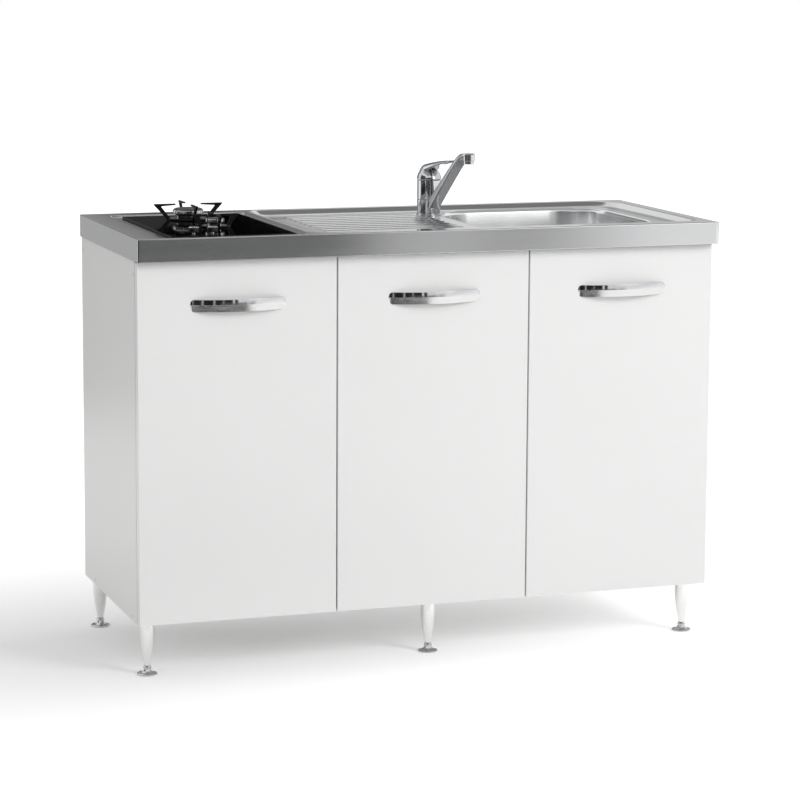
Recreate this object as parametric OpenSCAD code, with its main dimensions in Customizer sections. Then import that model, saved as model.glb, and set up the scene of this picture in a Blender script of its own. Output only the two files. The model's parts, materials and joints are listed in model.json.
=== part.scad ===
// Kitchenette base unit: three-door cabinet on legs, pressed steel worktop with drainer, bowl and gas hob.
// Millimetres. X runs to the right, Y to the back, Z up. The origin is on the floor under the middle.

/* [Unit] */
// Width of the worktop
unit_w = 1200; // [1170:10:1320]
// Depth of the worktop
unit_d = 500; // [500:5:560]
// Height of the worktop above the floor
top_z = 860; // [840:5:920]

/* [Worktop] */
// Thickness of the steel sheet
sheet = 1; // [0.8:0.1:1.5]
// Height of the folded apron
apron_h = 45; // [40:1:46]
// Depth of the lip turned in under the front apron
hem = 12; // [6:1:16]
// Height of the short fold along the back edge
back_fold = 20; // [10:1:30]

/* [Sink] */
// Width of the flat rim along the front of the sink recess
dish_rim_front = 36; // [30:1:40]
// Width of the flat rim along the back of the sink recess
dish_rim_back = 12; // [10:1:14]
// Width of the flat rim to the right of the sink recess
dish_rim_side = 25; // [15:1:40]
// Depth of the sink recess
dish_depth = 10; // [7:0.5:12]
// Run of the sloping wall of the sink recess
dish_slope = 20; // [12:1:22]
// Width of the bowl opening
bowl_w = 370; // [330:5:380]
// Flat land in front of the bowl
bowl_land_front = 14; // [10:1:18]
// Flat land behind the bowl
bowl_land_back = 12; // [8:1:20]
// Flat land to the right of the bowl
bowl_land_side = 43; // [20:1:60]
// Corner radius of the bowl opening
bowl_r = 100; // [90:1:110]
// Depth of the bowl under the recess
bowl_depth = 150; // [120:5:180]
// Distance between drainer ribs
rib_pitch = 34; // [26:1:40]
// Width of a drainer rib
rib_w = 14; // [8:1:18]
// Height of a drainer rib
rib_h = 2.2; // [1.5:0.1:3]

/* [Hob] */
// Flat rim from the worktop end to the hob glass
hob_side = 70; // [60:1:80]
// Width of the hob glass
glass_w = 246; // [236:1:256]
// Depth of the hob glass
glass_d = 408; // [396:1:414]
// Flat rim in front of the hob glass
hob_front = 17; // [17:1:22]
// Thickness of the hob glass
glass_t = 4; // [3:0.5:6]
// Height of the glass above the rim
glass_proud = 0.5; // [0.2:0.1:1]
// Radius of the large burner cap
cap_r_large = 31; // [29:0.5:32]
// Radius of the small burner cap
cap_r_small = 18.5; // [18:0.5:21]
// Height of the large pan support above the glass
support_h_large = 32.5; // [30:0.5:36]
// Height of the small pan support above the glass
support_h_small = 25.5; // [24:0.5:30]
// Diameter of a control knob
knob_d = 21; // [18:0.5:26]
// Distance between the control knobs
knob_pitch = 37; // [32:1:44]
// Push travel of a knob
knob_push = 3; // [2:0.25:3]

/* [Tap] */
// Diameter of the tap body
tap_d = 49; // [46:0.5:50]
// Height of the tap body up to the seam of the lever
tap_h = 74; // [66:1:80]
// Reach of the spout from the tap axis
spout_reach = 186; // [150:2:210]
// Height of the spout outlet above the recess
outlet_h = 120; // [110:1:130]
// Angle of the spout at rest, to the right of straight ahead
spout_turn = 6; // [0:1:20]
// Width of the spout
spout_w = 26; // [20:1:30]
// Length of the lever from the tap axis
lever_l = 115; // [80:1:130]
// Angle of the lever at rest, to the right of straight ahead
lever_turn = 4; // [0:1:10]
// Greatest lift of the lever in degrees
lever_lift = 22; // [15:1:25]

/* [Cabinet] */
// Thickness of the panels
panel_t = 18; // [16:1:19]
// Thickness of the doors
door_t = 18; // [18:0.5:20]
// Distance from the worktop end to the side panel
side_inset = 3; // [2:0.5:6]
// Distance from the worktop front edge to the door front
door_setback = 23; // [23:0.5:30]
// Height of the side panels above the floor
base_z = 107; // [95:1:130]
// Gap between two doors
door_seam = 3; // [3:0.1:5]
// Gap between door and cabinet front edge
door_gap = 2.5; // [2.5:0.1:4]
// Gap over the doors
door_top_gap = 3; // [2:0.5:6]
// Step from the side panel foot up to the door foot
door_foot = 3; // [2:0.5:8]
// Height of the front rails
rail_h = 48; // [40:1:60]
// Thickness of the back panel
back_t = 3; // [3:0.5:6]
// Height of the shelf top above the bottom panel
shelf_up = 343; // [200:1:420]
// Width of the service cut-out in the back panel
service_w = 200; // [120:5:240]
// Height of the service cut-out in the back panel
service_h = 140; // [100:5:180]

/* [Legs] */
// Radius of a leg at its top
leg_r = 15; // [13:0.5:16]
// Distance from the cabinet side to the leg axis
leg_inset = 27; // [22:1:60]
// Distance from the cabinet front edge to the front leg axis
leg_front = 32.5; // [25:0.5:60]
// Distance from the back panel to the back leg axis
leg_back = 15.5; // [15:0.5:60]
// Distance of the middle legs to the right of the centre line
leg_mid = 10; // [0:1:16]
// Radius of a foot disc
foot_r = 20; // [17:0.5:20]
// Travel of a levelling foot
foot_travel = 15; // [8:1:18]

/* [Handles] */
// Length of a door handle
handle_l = 190; // [160:5:220]
// Height of the handle strap
handle_h = 24; // [18:0.5:28]
// Distance the handle stands off the door
handle_out = 22.5; // [18:0.5:22.5]
// Thickness of the handle strap
handle_t = 5; // [4:0.5:6]
// Distance from the door top to the handle axis
handle_drop = 85; // [60:1:120]

/* [Hinges] */
// Distance from the door edge to the cup axis
cup_in = 21.5; // [21:0.1:22.5]
// Radius of the hinge cup
cup_r = 17.5; // [17.5:0.1:18]
// Depth of the hinge cup
cup_deep = 14.3; // [14.3:0.1:15]
// Distance from the door ends to the hinge axis height
hinge_from_end = 100; // [70:5:140]

/* [Hidden] */
$fn = 48;
hw = unit_w / 2;
hd = unit_d / 2;
run_gap = 0.05;                       // radial play of a running fit
fit_gap = 0.3;                        // play between curved faces of different pieces
cut = 1;                              // overrun of a cutting solid

// Cabinet planes
cab_x = hw - side_inset;
door_front = -hd + door_setback;
door_back = door_front + door_t;
cab_front = door_back + door_gap;
cab_back = hd - sheet - 0.5;
inner_back = cab_back - back_t;
inner_x = cab_x - panel_t;
sheet_under = top_z - sheet;
door_top = top_z - apron_h - door_top_gap;
door_foot_z = base_z + door_foot;
door_h = door_top - door_foot_z;
door_w = (2 * cab_x - 2 * door_seam) / 3;
floor_z = base_z + panel_t;
divider_x = -cab_x + door_w + door_seam / 2;
divider_left = divider_x - panel_t / 2;
divider_right = divider_x + panel_t / 2;
shelf_top = floor_z + shelf_up;
shelf_under = shelf_top - panel_t;
rail_z = door_top - rail_h;
back_rail_h = 80;
back_rail_z = rail_z - 15;
screw_r = 2.5;
screw_l = 50;
screw_head_r = 4;
screw_head_h = 3;
low_screw_z = base_z + panel_t / 2;
rail_screw_z = rail_z + rail_h / 2;
rail_screw_y = cab_front + panel_t / 2;
back_screw_y = inner_back - panel_t / 2;
low_screw_y = [cab_front + 42, cab_back - 92];
pin_r = 2.5;
pin_out = 8;
pin_y = [cab_front + 60, inner_back - 60];
edge_r = 1;

// Hob places
hob_l = -hw + hob_side;
hob_r = hob_l + glass_w;
hob_f = -hd + hob_front;
hob_b = hob_f + glass_d;
glass_z = top_z + glass_proud;
glass_under = glass_z - glass_t;
hob_mid = (hob_l + hob_r) / 2;
large_inset = 90;
burner_pitch = 155;
large_x = hob_mid - 8;
large_y = hob_b - large_inset;
small_x = hob_mid + 5;
small_y = large_y - burner_pitch;
knob_inset = 47;
knob_side = 55;
knob_y = hob_f + knob_inset;
knob_x = [hob_l + knob_side, hob_l + knob_side + knob_pitch];
hob_lap = 14;
hob_dish_side = 20;
hob_dish_back = 30;
hob_dish_front = 5;
tray_wall = 1;
tray_z = top_z - apron_h + 2;
base_h = 3.5;
crown_z = glass_z + base_h;
electrode_r = 1.6;
electrode_foot = glass_under - 8;
crown_h_large = 9;
crown_h_small = 6;
cap_h_large = 11;
cap_h_small = 9;
arm_out_large = 40;
arm_out_small = 28;
manifold_r = 6;
valve_z = tray_z + tray_wall + 10;
valve_top = glass_under - 5;
valve_reach = 18;
spindle_r = 3;
knob_hole_r = 2 * spindle_r;
burner_dish = 6.5;
spindle_foot = valve_z + manifold_r + 3;
burner_pipe_r = 3;
burner_pipe_z = valve_z + 12;
supply_x = hob_l + hob_lap + 14;
supply_y = hob_b - hob_lap - 30;
supply_r = manifold_r - 1;
gas_thread_r = 10.48;
gas_thread_l = 15;
gas_inlet_z = tray_z - 37;

// Sink places
dish_l = hob_r + 34;
dish_r = hw - dish_rim_side;
dish_f = -hd + dish_rim_front;
dish_b = hd - dish_rim_back;
deck_z = top_z - dish_depth;
bowl_rt = dish_r - dish_slope - bowl_land_side;
bowl_lt = bowl_rt - bowl_w;
bowl_ft = dish_f + dish_slope + bowl_land_front;
bowl_bk = dish_b - dish_slope - bowl_land_back;
bowl_d = bowl_bk - bowl_ft;
bowl_x = (bowl_lt + bowl_rt) / 2;
bowl_y = (bowl_ft + bowl_bk) / 2;
bowl_z = deck_z - bowl_depth;
bowl_taper = 8;
bowl_bevel = 26;
dish_corner = 24;
dish_corner_back = 60;
rib_l = dish_l + dish_slope + 40;
rib_r = bowl_lt - 38;
rib_f = dish_f + dish_slope + 16;
rib_b = dish_b - dish_slope - 50;
rib_count = floor((rib_b - rib_f) / rib_pitch) + 1;

// Waste and trap
waste_r = 45;
waste_rim_r = 56;
basket_r = 40.5;
tail_r = 20;
tail_bore = 17.5;
seal_t = 3;
flange_skirt = 20;
cup_drop = 45;
trap_drop = 110;
tail_l = 60;
outlet_drop = 30;
cup_floor = bowl_z - cup_drop;
trap_top = bowl_z - trap_drop;
tail_end = trap_top - tail_l;
trap_h = 88;
trap_r = 30;
trap_wall = 2.5;
outlet_z = trap_top - outlet_drop;
outlet_end = hd - 1;
trap_arm_end = bowl_y + trap_r + 18;
spigot_start = bowl_y + trap_r + 5;
spigot_end = trap_arm_end + 19;

// Tap places
tap_x = bowl_lt - 24;
tap_inset = 98;
tap_y = dish_b - tap_inset;
tap_r = tap_d / 2;
tap_flange_r = tap_r + 1.5;
ring_z = 5;
ring_h = 28;
core_r = tap_r - 5.5;
shank_r = 16.5;
tap_hole_r = shank_r + 1;
shank_l = 45;
inlet_r = 4.46;
inlet_l = 14;
inlet_off = 8.5;
cartridge_r = core_r - 1;
pivot_z = tap_h + 1.5;
dome_r = tap_r + 1;
dome_wall = 2.5;
tilt_pin_r = 2;

// Legs
leg_y = [cab_front + leg_front, inner_back - leg_back];
leg_x = [-cab_x + leg_inset, leg_mid, cab_x - leg_inset];
foot_top = 18;
bush_r = leg_inset - panel_t - 0.5;
bush_flange = 1.5;
bush_body_r = 6;
bush_h = 15;
leg_stud_l = 12;
stud_r = 3.95;
stud_bore = stud_r + run_gap;
stud_l = foot_travel + 23;            // 23 mm stays in the leg at full travel

// Handles and hinges
handle_z = door_top - handle_drop;
bow_r = (pow(handle_l / 2, 2) + pow(handle_out, 2)) / (2 * handle_out);
handle_boss_x = handle_l / 2 - 15;
handle_screw_r = 2;
pivot_in = 7.5;
pivot_deep = 11.5;
pivot_y = door_back - pivot_deep;
hinge_pin_r = 1;
hinge_play = 0.1;
eye_r = 1.9;
arm_reach = 18;
arm_t = 2;
arm_h = 10;
arm_body_t = 3.5;
hinge_z = [door_foot_z + hinge_from_end, door_top - hinge_from_end];
left_pivot = -cab_x + pivot_in;
middle_pivot = divider_x + door_seam / 2 + pivot_in;
door_left_x = -cab_x;
door_middle_x = -cab_x + door_w + door_seam;
door_right_x = cab_x - door_w;

// Rounded rectangle from squares and true circles, centred
module round_rect(w, d, r) {
    square([w - 2 * r, d], center = true);
    square([w, d - 2 * r], center = true);
    for (sx = [-1, 1], sy = [-1, 1])
        translate([sx * (w / 2 - r), sy * (d / 2 - r)])
            circle(r);
}

module box(x0, x1, y0, y1, z0, z1) {
    translate([x0, y0, z0])
        cube([x1 - x0, y1 - y0, z1 - z0]);
}

module bar_x(x0, x1, y, z, r) {
    translate([x0, y, z])
        rotate([0, 90, 0])
            cylinder(r = r, h = x1 - x0);
}

module bar_y(x, y0, y1, z, r) {
    translate([x, y0, z])
        rotate([-90, 0, 0])
            cylinder(r = r, h = y1 - y0);
}

module ring(r_out, r_in, z0, z1) {
    translate([0, 0, z0])
        difference() {
            cylinder(r = r_out, h = z1 - z0);
            translate([0, 0, -cut])
                cylinder(r = r_in, h = z1 - z0 + 2 * cut);
        }
}

// ---- Cabinet ----
module side_screw_axes(x0, x1, r) {
    for (y = low_screw_y)
        bar_x(x0, x1, y, low_screw_z, r);
    bar_x(x0, x1, rail_screw_y, rail_screw_z, r);
    bar_x(x0, x1, back_screw_y, rail_screw_z, r);
}

module side_panel() {
    difference() {
        box(-cab_x, -inner_x, cab_front, cab_back, base_z, sheet_under);
        side_screw_axes(-cab_x - cut, -inner_x + cut, screw_r);
        side_screw_axes(-cab_x - cut, -cab_x + screw_head_h, screw_head_r);
        for (y = pin_y)
            bar_x(-inner_x - pin_out, -inner_x + cut, y, shelf_under - pin_r, pin_r);
    }
}

module side_panel_left() {
    color("white") side_panel();
}

module side_panel_right() {
    color("white")
        mirror([1, 0, 0])
            side_panel();
}

module divider_panel() {
    color("white")
        difference() {
            box(divider_left, divider_right, cab_front, inner_back, floor_z, deck_z - sheet);
            for (y = pin_y)
                bar_x(divider_left - cut, divider_left + pin_out, y, shelf_under - pin_r, pin_r);
        }
}

module bottom_panel() {
    color("white")
        difference() {
            box(-inner_x, inner_x, cab_front, inner_back, base_z, floor_z);
            side_screw_axes(-inner_x - cut, -cab_x + screw_l, screw_r);
            side_screw_axes(cab_x - screw_l, inner_x + cut, screw_r);
            for (x = leg_x, y = leg_y)
                translate([x, y, 0])
                    bush_shape(0);
        }
}

module back_panel() {
    color("tan")
        difference() {
            box(-inner_x, inner_x, inner_back, cab_back, base_z, deck_z - sheet - 4);
            box(bowl_x - service_w / 2, bowl_x + service_w / 2, inner_back - cut, cab_back + cut,
                outlet_z - service_h / 2, outlet_z + service_h / 2);
        }
}

module front_rails() {
    color("white")
        difference() {
            union() {
                box(-inner_x, divider_left, cab_front, cab_front + panel_t, rail_z, door_top);
                box(divider_right, inner_x, cab_front, cab_front + panel_t, rail_z, door_top);
            }
            side_screw_axes(-inner_x - cut, -cab_x + screw_l, screw_r);
            side_screw_axes(cab_x - screw_l, inner_x + cut, screw_r);
        }
}

module back_rails() {
    color("white")
        difference() {
            union() {
                box(-inner_x, divider_left, inner_back - panel_t, inner_back,
                    back_rail_z, back_rail_z + back_rail_h);
                box(divider_right, inner_x, inner_back - panel_t, inner_back,
                    back_rail_z, back_rail_z + back_rail_h);
            }
            side_screw_axes(-inner_x - cut, -cab_x + screw_l, screw_r);
            side_screw_axes(cab_x - screw_l, inner_x + cut, screw_r);
        }
}

module shelf() {
    color("white")
        box(-inner_x + 0.5, divider_left - 0.5, cab_front + 20, inner_back - 1, shelf_under, shelf_top);
}

module shelf_pins() {
    color("silver")
        for (y = pin_y) {
            bar_x(-inner_x - pin_out, -inner_x + pin_out, y, shelf_under - pin_r, pin_r);
            bar_x(divider_left - pin_out, divider_left + pin_out, y, shelf_under - pin_r, pin_r);
        }
}

module panel_screws() {
    color("silver")
        for (side = [0, 1])
            mirror([side, 0, 0]) {
                side_screw_axes(-cab_x + screw_head_h, -cab_x + screw_l, screw_r);
                side_screw_axes(-cab_x + 0.3, -cab_x + screw_head_h, screw_head_r);
            }
}

// ---- Legs and feet ----
module bush_shape(bore) {
    difference() {
        union() {
            translate([0, 0, base_z - (bore > 0 ? 0 : cut)])
                cylinder(r = bush_r, h = bush_flange + (bore > 0 ? 0 : cut));
            translate([0, 0, base_z])
                cylinder(r = bush_body_r, h = bush_h);
        }
        if (bore > 0)
            translate([0, 0, base_z - cut])
                cylinder(r = bore, h = bush_h + 2 * cut);
    }
}

module leg_bushes() {
    color("silver")
        for (x = leg_x, y = leg_y)
            translate([x, y, 0])
                bush_shape(stud_r);
}

module leg_shape() {
    difference() {
        union() {
            rotate_extrude()
                polygon([[0, foot_top + fit_gap], [leg_r * 0.43, foot_top + fit_gap],
                         [leg_r * 0.5, 25], [leg_r * 0.6, 30], [leg_r * 0.7, 36],
                         [leg_r * 0.82, 46], [leg_r * 0.93, 58], [leg_r * 0.98, 72],
                         [leg_r, 88], [leg_r, base_z - 1], [leg_r - 1, base_z], [0, base_z]]);
            translate([0, 0, base_z - cut])
                cylinder(r = stud_r, h = leg_stud_l + cut);
        }
        translate([0, 0, foot_top - cut])
            cylinder(r = stud_bore, h = stud_l + 7);
    }
}

module legs() {
    color("silver")
        for (x = leg_x, y = leg_y)
            translate([x, y, 0])
                leg_shape();
}

module foot(x, y) {
    color("silver")
        translate([x, y, 0]) {
            rotate_extrude()
                polygon([[0, 0], [foot_r - 0.5, 0], [foot_r, 0.8], [foot_r, 2.6], [foot_r - 0.8, 3.4],
                         [foot_r * 0.72, 4.6], [foot_r * 0.52, 6.6], [foot_r * 0.4, 9.2],
                         [foot_r * 0.35, 12], [foot_r * 0.42, 12.6], [foot_r * 0.42, 15],
                         [foot_r * 0.33, 15.8], [foot_r * 0.33, foot_top], [0, foot_top]]);
            translate([0, 0, foot_top - cut])
                cylinder(r = stud_r, h = stud_l + cut);
        }
}

module foot_front_left() { foot(leg_x[0], leg_y[0]); }
module foot_front_middle() { foot(leg_x[1], leg_y[0]); }
module foot_front_right() { foot(leg_x[2], leg_y[0]); }
module foot_back_left() { foot(leg_x[0], leg_y[1]); }
module foot_back_middle() { foot(leg_x[1], leg_y[1]); }
module foot_back_right() { foot(leg_x[2], leg_y[1]); }

// ---- Worktop ----
// Thin slab of the sink recess outline, grown inwards by inset, with a larger back-right corner
module dish_slab(inset, z, grow) {
    rf = dish_corner - inset / 3 + grow;
    rb = dish_corner_back - inset / 2 + grow;
    x0 = dish_l + inset - grow;
    x1 = dish_r - inset + grow;
    y0 = dish_f + inset - grow;
    y1 = dish_b - inset + grow;
    translate([0, 0, z]) {
        for (p = [[x0 + rf, y0 + rf, rf], [x1 - rf, y0 + rf, rf],
                  [x0 + rf, y1 - rf, rf], [x1 - rb, y1 - rb, rb]])
            translate([p[0], p[1], 0])
                cylinder(r = p[2], h = 0.01, $fn = 40);
    }
}

module dish_shape(z_off, grow) {
    hull() {
        dish_slab(dish_slope, deck_z + z_off, grow);
        dish_slab(0, top_z + (z_off < 0 ? -0.01 : z_off), grow);
    }
}

module bowl_outline() {
    translate([bowl_x, bowl_y])
        round_rect(bowl_w, bowl_d, bowl_r, $fn = 96);
}

module hob_dish(z0, grow) {
    translate([0, 0, z0])
        linear_extrude(top_z - z0 + (grow > 0 ? -0.01 : cut))
            translate([(hob_l - hob_dish_side + hob_r + hob_dish_side) / 2,
                       (hob_f - hob_dish_front + hob_b + hob_dish_back) / 2])
                round_rect(glass_w + 2 * hob_dish_side + 2 * grow,
                           glass_d + hob_dish_front + hob_dish_back + 2 * grow, 10 + grow);
}

module drainer_rib(y) {
    arc_r = (pow(rib_w / 2, 2) + pow(rib_h, 2)) / (2 * rib_h);
    intersection() {
        bar_x(rib_l, rib_r, y, deck_z + rib_h - arc_r, arc_r);
        box(rib_l, rib_r, y - rib_w, y + rib_w, deck_z - sheet / 2, deck_z + rib_h + cut);
    }
}

module worktop() {
    color("silver") {
        difference() {
            union() {
                box(-hw, hw, -hd, hd, sheet_under, top_z);
                dish_shape(-sheet, sheet);
                hob_dish(glass_under - sheet, sheet);
            }
            dish_shape(0, 0);
            hob_dish(glass_under, 0);
            translate([0, 0, bowl_z])
                linear_extrude(bowl_depth + cut)
                    bowl_outline();
            translate([tap_x, tap_y, deck_z - 5])
                cylinder(r = tap_hole_r, h = 10);
            box(hob_l + hob_lap, hob_r - hob_lap, hob_f + hob_lap, hob_b - hob_lap,
                glass_under - 5, top_z + cut);
        }
        difference() {
            for (k = [0 : rib_count - 1])
                drainer_rib(rib_f + k * rib_pitch);
            translate([tap_x, tap_y, deck_z])
                cylinder(r = tap_flange_r + 3, h = rib_h + cut);
        }
    }
}

// The aprons, the hem and the back fold. They are one sheet with the worktop, as a node of their own.
module worktop_edge() {
    color("silver") {
        box(-hw, hw, -hd, -hd + sheet, top_z - apron_h, sheet_under);
        box(-hw, hw, -hd, -hd + hem, top_z - apron_h, top_z - apron_h + sheet);
        for (x = [-hw, hw - sheet])
            box(x, x + sheet, -hd, hd, top_z - apron_h, sheet_under);
        box(-hw, hw, hd - sheet, hd, top_z - back_fold, sheet_under);
    }
}

// ---- Bowl ----
module bowl_slab(inset, z, grow) {
    r = bowl_r - inset * 0.8 + grow;
    w = bowl_w - 2 * inset + 2 * grow;
    d = bowl_d - 2 * inset + 2 * grow;
    translate([bowl_x, bowl_y, z])
        for (sx = [-1, 1], sy = [-1, 1])
            translate([sx * (w / 2 - r), sy * (d / 2 - r), 0])
                cylinder(r = r, h = 0.01, $fn = 64);
}

module bowl_shape(grow, z_top) {
    hull() {
        bowl_slab(0, z_top - 0.01, grow);
        bowl_slab(bowl_taper, bowl_z + bowl_bevel, grow);
        bowl_slab(bowl_taper + 7, bowl_z + bowl_bevel / 3, grow);
        bowl_slab(bowl_taper + bowl_bevel - 4, bowl_z - grow, grow);
    }
}

module sink_bowl() {
    weld = 8;
    color("silver")
        difference() {
            union() {
                bowl_shape(sheet, deck_z - sheet);
                translate([0, 0, deck_z - 2 * sheet])
                    linear_extrude(sheet)
                        translate([bowl_x, bowl_y])
                            round_rect(bowl_w + 2 * weld, bowl_d + 2 * weld, bowl_r + weld, $fn = 96);
            }
            bowl_shape(0, deck_z + cut);
            translate([bowl_x, bowl_y, bowl_z - 10])
                cylinder(r = waste_r + 0.2, h = 20);
            translate([tap_x, tap_y, deck_z - 10])
                cylinder(r = tap_hole_r, h = 20);
        }
}

// ---- Waste and trap ----
module waste_flange() {
    color("silver")
        translate([bowl_x, bowl_y, bowl_z]) {
            ring(waste_rim_r, waste_r - 2, 0, 1.5);
            ring(waste_r - 0.1, basket_r + 0.5, -flange_skirt, -0.5);
            ring(waste_r - 0.1, waste_r - 2, -0.5, 1);
        }
}

module waste_seal() {
    color("dimgray")
        translate([bowl_x, bowl_y, bowl_z - sheet])
            ring(waste_rim_r, waste_r, -seal_t, 0);
}

module waste_body() {
    seat = -sheet - seal_t;
    color("white")
        translate([bowl_x, bowl_y, bowl_z])
            difference() {
                union() {
                    translate([0, 0, seat - 4])
                        cylinder(r = waste_rim_r - 1, h = 4);
                    translate([0, 0, cup_floor - bowl_z - 3])
                        cylinder(r = waste_r + 2.5, h = seat - (cup_floor - bowl_z - 3));
                    translate([0, 0, tail_end - bowl_z])
                        cylinder(r = tail_r, h = cup_floor - tail_end);
                }
                translate([0, 0, cup_floor - bowl_z])
                    cylinder(r = waste_r, h = bowl_z - cup_floor + cut);
                translate([0, 0, tail_end - bowl_z - cut])
                    cylinder(r = tail_bore, h = cup_floor - tail_end + 2 * cut);
            }
}

module basket_strainer() {
    rim_z = -0.5;
    deep = 24;
    wall = 1;
    color("silver")
        translate([bowl_x, bowl_y, bowl_z + rim_z]) {
            difference() {
                union() {
                    cylinder(r = waste_r - 2.3, h = 1.2);
                    translate([0, 0, -deep])
                        cylinder(r = basket_r - 0.3, h = deep);
                }
                translate([0, 0, wall - deep])
                    cylinder(r = basket_r - 0.3 - wall, h = deep + 2);
                for (row = [[0.45, 8], [0.75, 14]], k = [0 : row[1] - 1])
                    rotate(k * 360 / row[1])
                        translate([row[0] * basket_r, 0, -deep - cut])
                            cylinder(r = 3, h = wall + 2 * cut, $fn = 16);
            }
            translate([0, 0, wall - deep])
                cylinder(r = 3, h = deep + 1);
            translate([0, 0, 1])
                cylinder(r = 9, h = 3);
        }
}

module trap_body() {
    color("white")
        difference() {
            union() {
                translate([bowl_x, bowl_y, trap_top - trap_h])
                    cylinder(r = trap_r, h = trap_h);
                bar_y(bowl_x, bowl_y, trap_arm_end, outlet_z, tail_r + 3);
            }
            translate([bowl_x, bowl_y, trap_top - trap_h - cut])
                cylinder(r = trap_r - trap_wall, h = trap_h + cut - trap_wall);
            translate([bowl_x, bowl_y, trap_top - 2 * trap_wall])
                cylinder(r = tail_r + 0.1, h = 3 * trap_wall);
            bar_y(bowl_x, bowl_y, trap_arm_end + cut, outlet_z, tail_bore);
            bar_y(bowl_x, spigot_start - cut, trap_arm_end + cut, outlet_z, tail_r + 0.1);
        }
}

module trap_cup() {
    color("white")
        translate([bowl_x, bowl_y, trap_top - trap_h]) {
            ring(trap_r + 3, trap_r + 0.1, -22, 14);
            translate([0, 0, -25])
                cylinder(r = trap_r + 3, h = 3);
            ring(trap_r + 0.5, trap_r - trap_wall, -22, 0);
        }
}

module trap_nuts() {
    color("white") {
        translate([bowl_x, bowl_y, trap_top])
            ring(tail_r + 8, tail_r + 0.1, 0, 16);
        translate([bowl_x, trap_arm_end, outlet_z])
            rotate([-90, 0, 0])
                ring(tail_r + 8, tail_r + 0.1, 0, 14);
    }
}

module outlet_pipe() {
    color("white")
        difference() {
            union() {
                bar_y(bowl_x, spigot_start, spigot_end + cut, outlet_z, tail_r - fit_gap);
                bar_y(bowl_x, spigot_end, outlet_end, outlet_z, tail_r);
            }
            bar_y(bowl_x, spigot_start - cut, outlet_end + cut, outlet_z, tail_bore);
        }
}

// ---- Hob ----
module hob_glass() {
    color("black")
        difference() {
            translate([hob_mid, (hob_f + hob_b) / 2, glass_under])
                linear_extrude(glass_t)
                    round_rect(glass_w, glass_d, 3);
            translate([large_x, large_y, glass_under - cut])
                cylinder(r = cap_r_large + 1, h = glass_t + 2 * cut);
            translate([small_x, small_y, glass_under - cut])
                cylinder(r = cap_r_small + 1, h = glass_t + 2 * cut);
            for (x = knob_x)
                translate([x, knob_y, glass_under - cut])
                    cylinder(r = knob_hole_r, h = glass_t + 2 * cut);
        }
}

module hob_tray() {
    x0 = hob_l + hob_lap + 1;
    x1 = hob_r - hob_lap - 1;
    y0 = hob_f + hob_lap + 1;
    y1 = hob_b - hob_lap - 1;
    color("gainsboro")
        difference() {
            box(x0, x1, y0, y1, tray_z, glass_under);
            box(x0 + tray_wall, x1 - tray_wall, y0 + tray_wall, y1 - tray_wall,
                tray_z + tray_wall, glass_under + cut);
            translate([supply_x, supply_y, tray_z - cut])
                cylinder(r = supply_r + 1, h = 4 * tray_wall);
        }
}

// One burner body: cup under the glass, neck through it and dish on it
module burner_body(cap_r) {
    difference() {
        union() {
            translate([0, 0, glass_z])
                cylinder(r = cap_r + burner_dish, h = base_h);
            translate([0, 0, glass_under - cut])
                cylinder(r = cap_r + 0.8, h = glass_t + 2 * cut);
            translate([0, 0, tray_z + tray_wall])
                cylinder(r = cap_r - 3, h = glass_under - tray_z - tray_wall);
        }
        translate([0, 0, tray_z + 8])
            cylinder(r = cap_r * 0.45, h = 60);
        electrode_places(cap_r)
            translate([0, 0, electrode_foot])
                cylinder(r = electrode_r + 0.1, h = 30);
    }
}

// The ignition electrode and the flame probe stand under the rim of the cap
module electrode_places(cap_r) {
    for (a = [205, 300])
        rotate(a)
            translate([cap_r - 3.4, 0, 0])
                children();
}

module at_large() {
    translate([large_x, large_y, 0])
        children();
}

module at_small() {
    translate([small_x, small_y, 0])
        children();
}

module burner_bodies() {
    color("dimgray") {
        at_large() burner_body(cap_r_large);
        at_small() burner_body(cap_r_small);
    }
}

module burner_crown(cap_r, high, slots) {
    r = cap_r - 6;
    difference() {
        ring(r, cap_r * 0.45, crown_z, crown_z + high);
        for (k = [0 : slots - 1])
            rotate(k * 360 / slots)
                translate([r - 3, -0.6, crown_z + high - 3])
                    cube([5, 1.2, 4]);
    }
}

module burner_crowns() {
    color("silver") {
        at_large() burner_crown(cap_r_large, crown_h_large, 32);
        at_small() burner_crown(cap_r_small, crown_h_small, 20);
    }
}

module burner_cap(cap_r, z, high) {
    translate([0, 0, z])
        rotate_extrude($fn = 96)
            polygon([[0, 0], [cap_r - 1, 0], [cap_r, 1], [cap_r, high - 2], [cap_r - 2, high], [0, high]]);
}

module burner_caps() {
    color("dimgray") {
        at_large() burner_cap(cap_r_large, crown_z + crown_h_large, cap_h_large);
        at_small() burner_cap(cap_r_small, crown_z + crown_h_small, cap_h_small);
    }
}

module electrode(cap_r, tip_z) {
    electrode_places(cap_r)
        translate([0, 0, electrode_foot])
            cylinder(r = electrode_r, h = tip_z - electrode_foot);
}

module igniters() {
    color("white") {
        at_large() electrode(cap_r_large, crown_z + crown_h_large - 3);
        at_small() electrode(cap_r_small, crown_z + crown_h_small - 2);
    }
}

// Pan support: ring round the burner with four arms that rise outwards and turn in over it
module pan_support(cap_r, tip_r, high, bar_in) {
    ring_in = cap_r + burner_dish + 0.5;
    ring_w = 5;
    thick = 4;
    color("black")
        translate([0, 0, glass_z]) {
            ring(ring_in + ring_w, ring_in, 0, 3.5);
            for (a = [0 : 90 : 270])
                rotate([90, 0, a])
                    translate([0, 0, -thick / 2])
                        linear_extrude(thick)
                            polygon([[ring_in + 0.5, 1], [ring_in + ring_w, 1],
                                     [tip_r, high], [bar_in, high], [bar_in, high - 2.4],
                                     [tip_r - 14, high - 4.5], [ring_in + 0.5, 5]]);
        }
}

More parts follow.
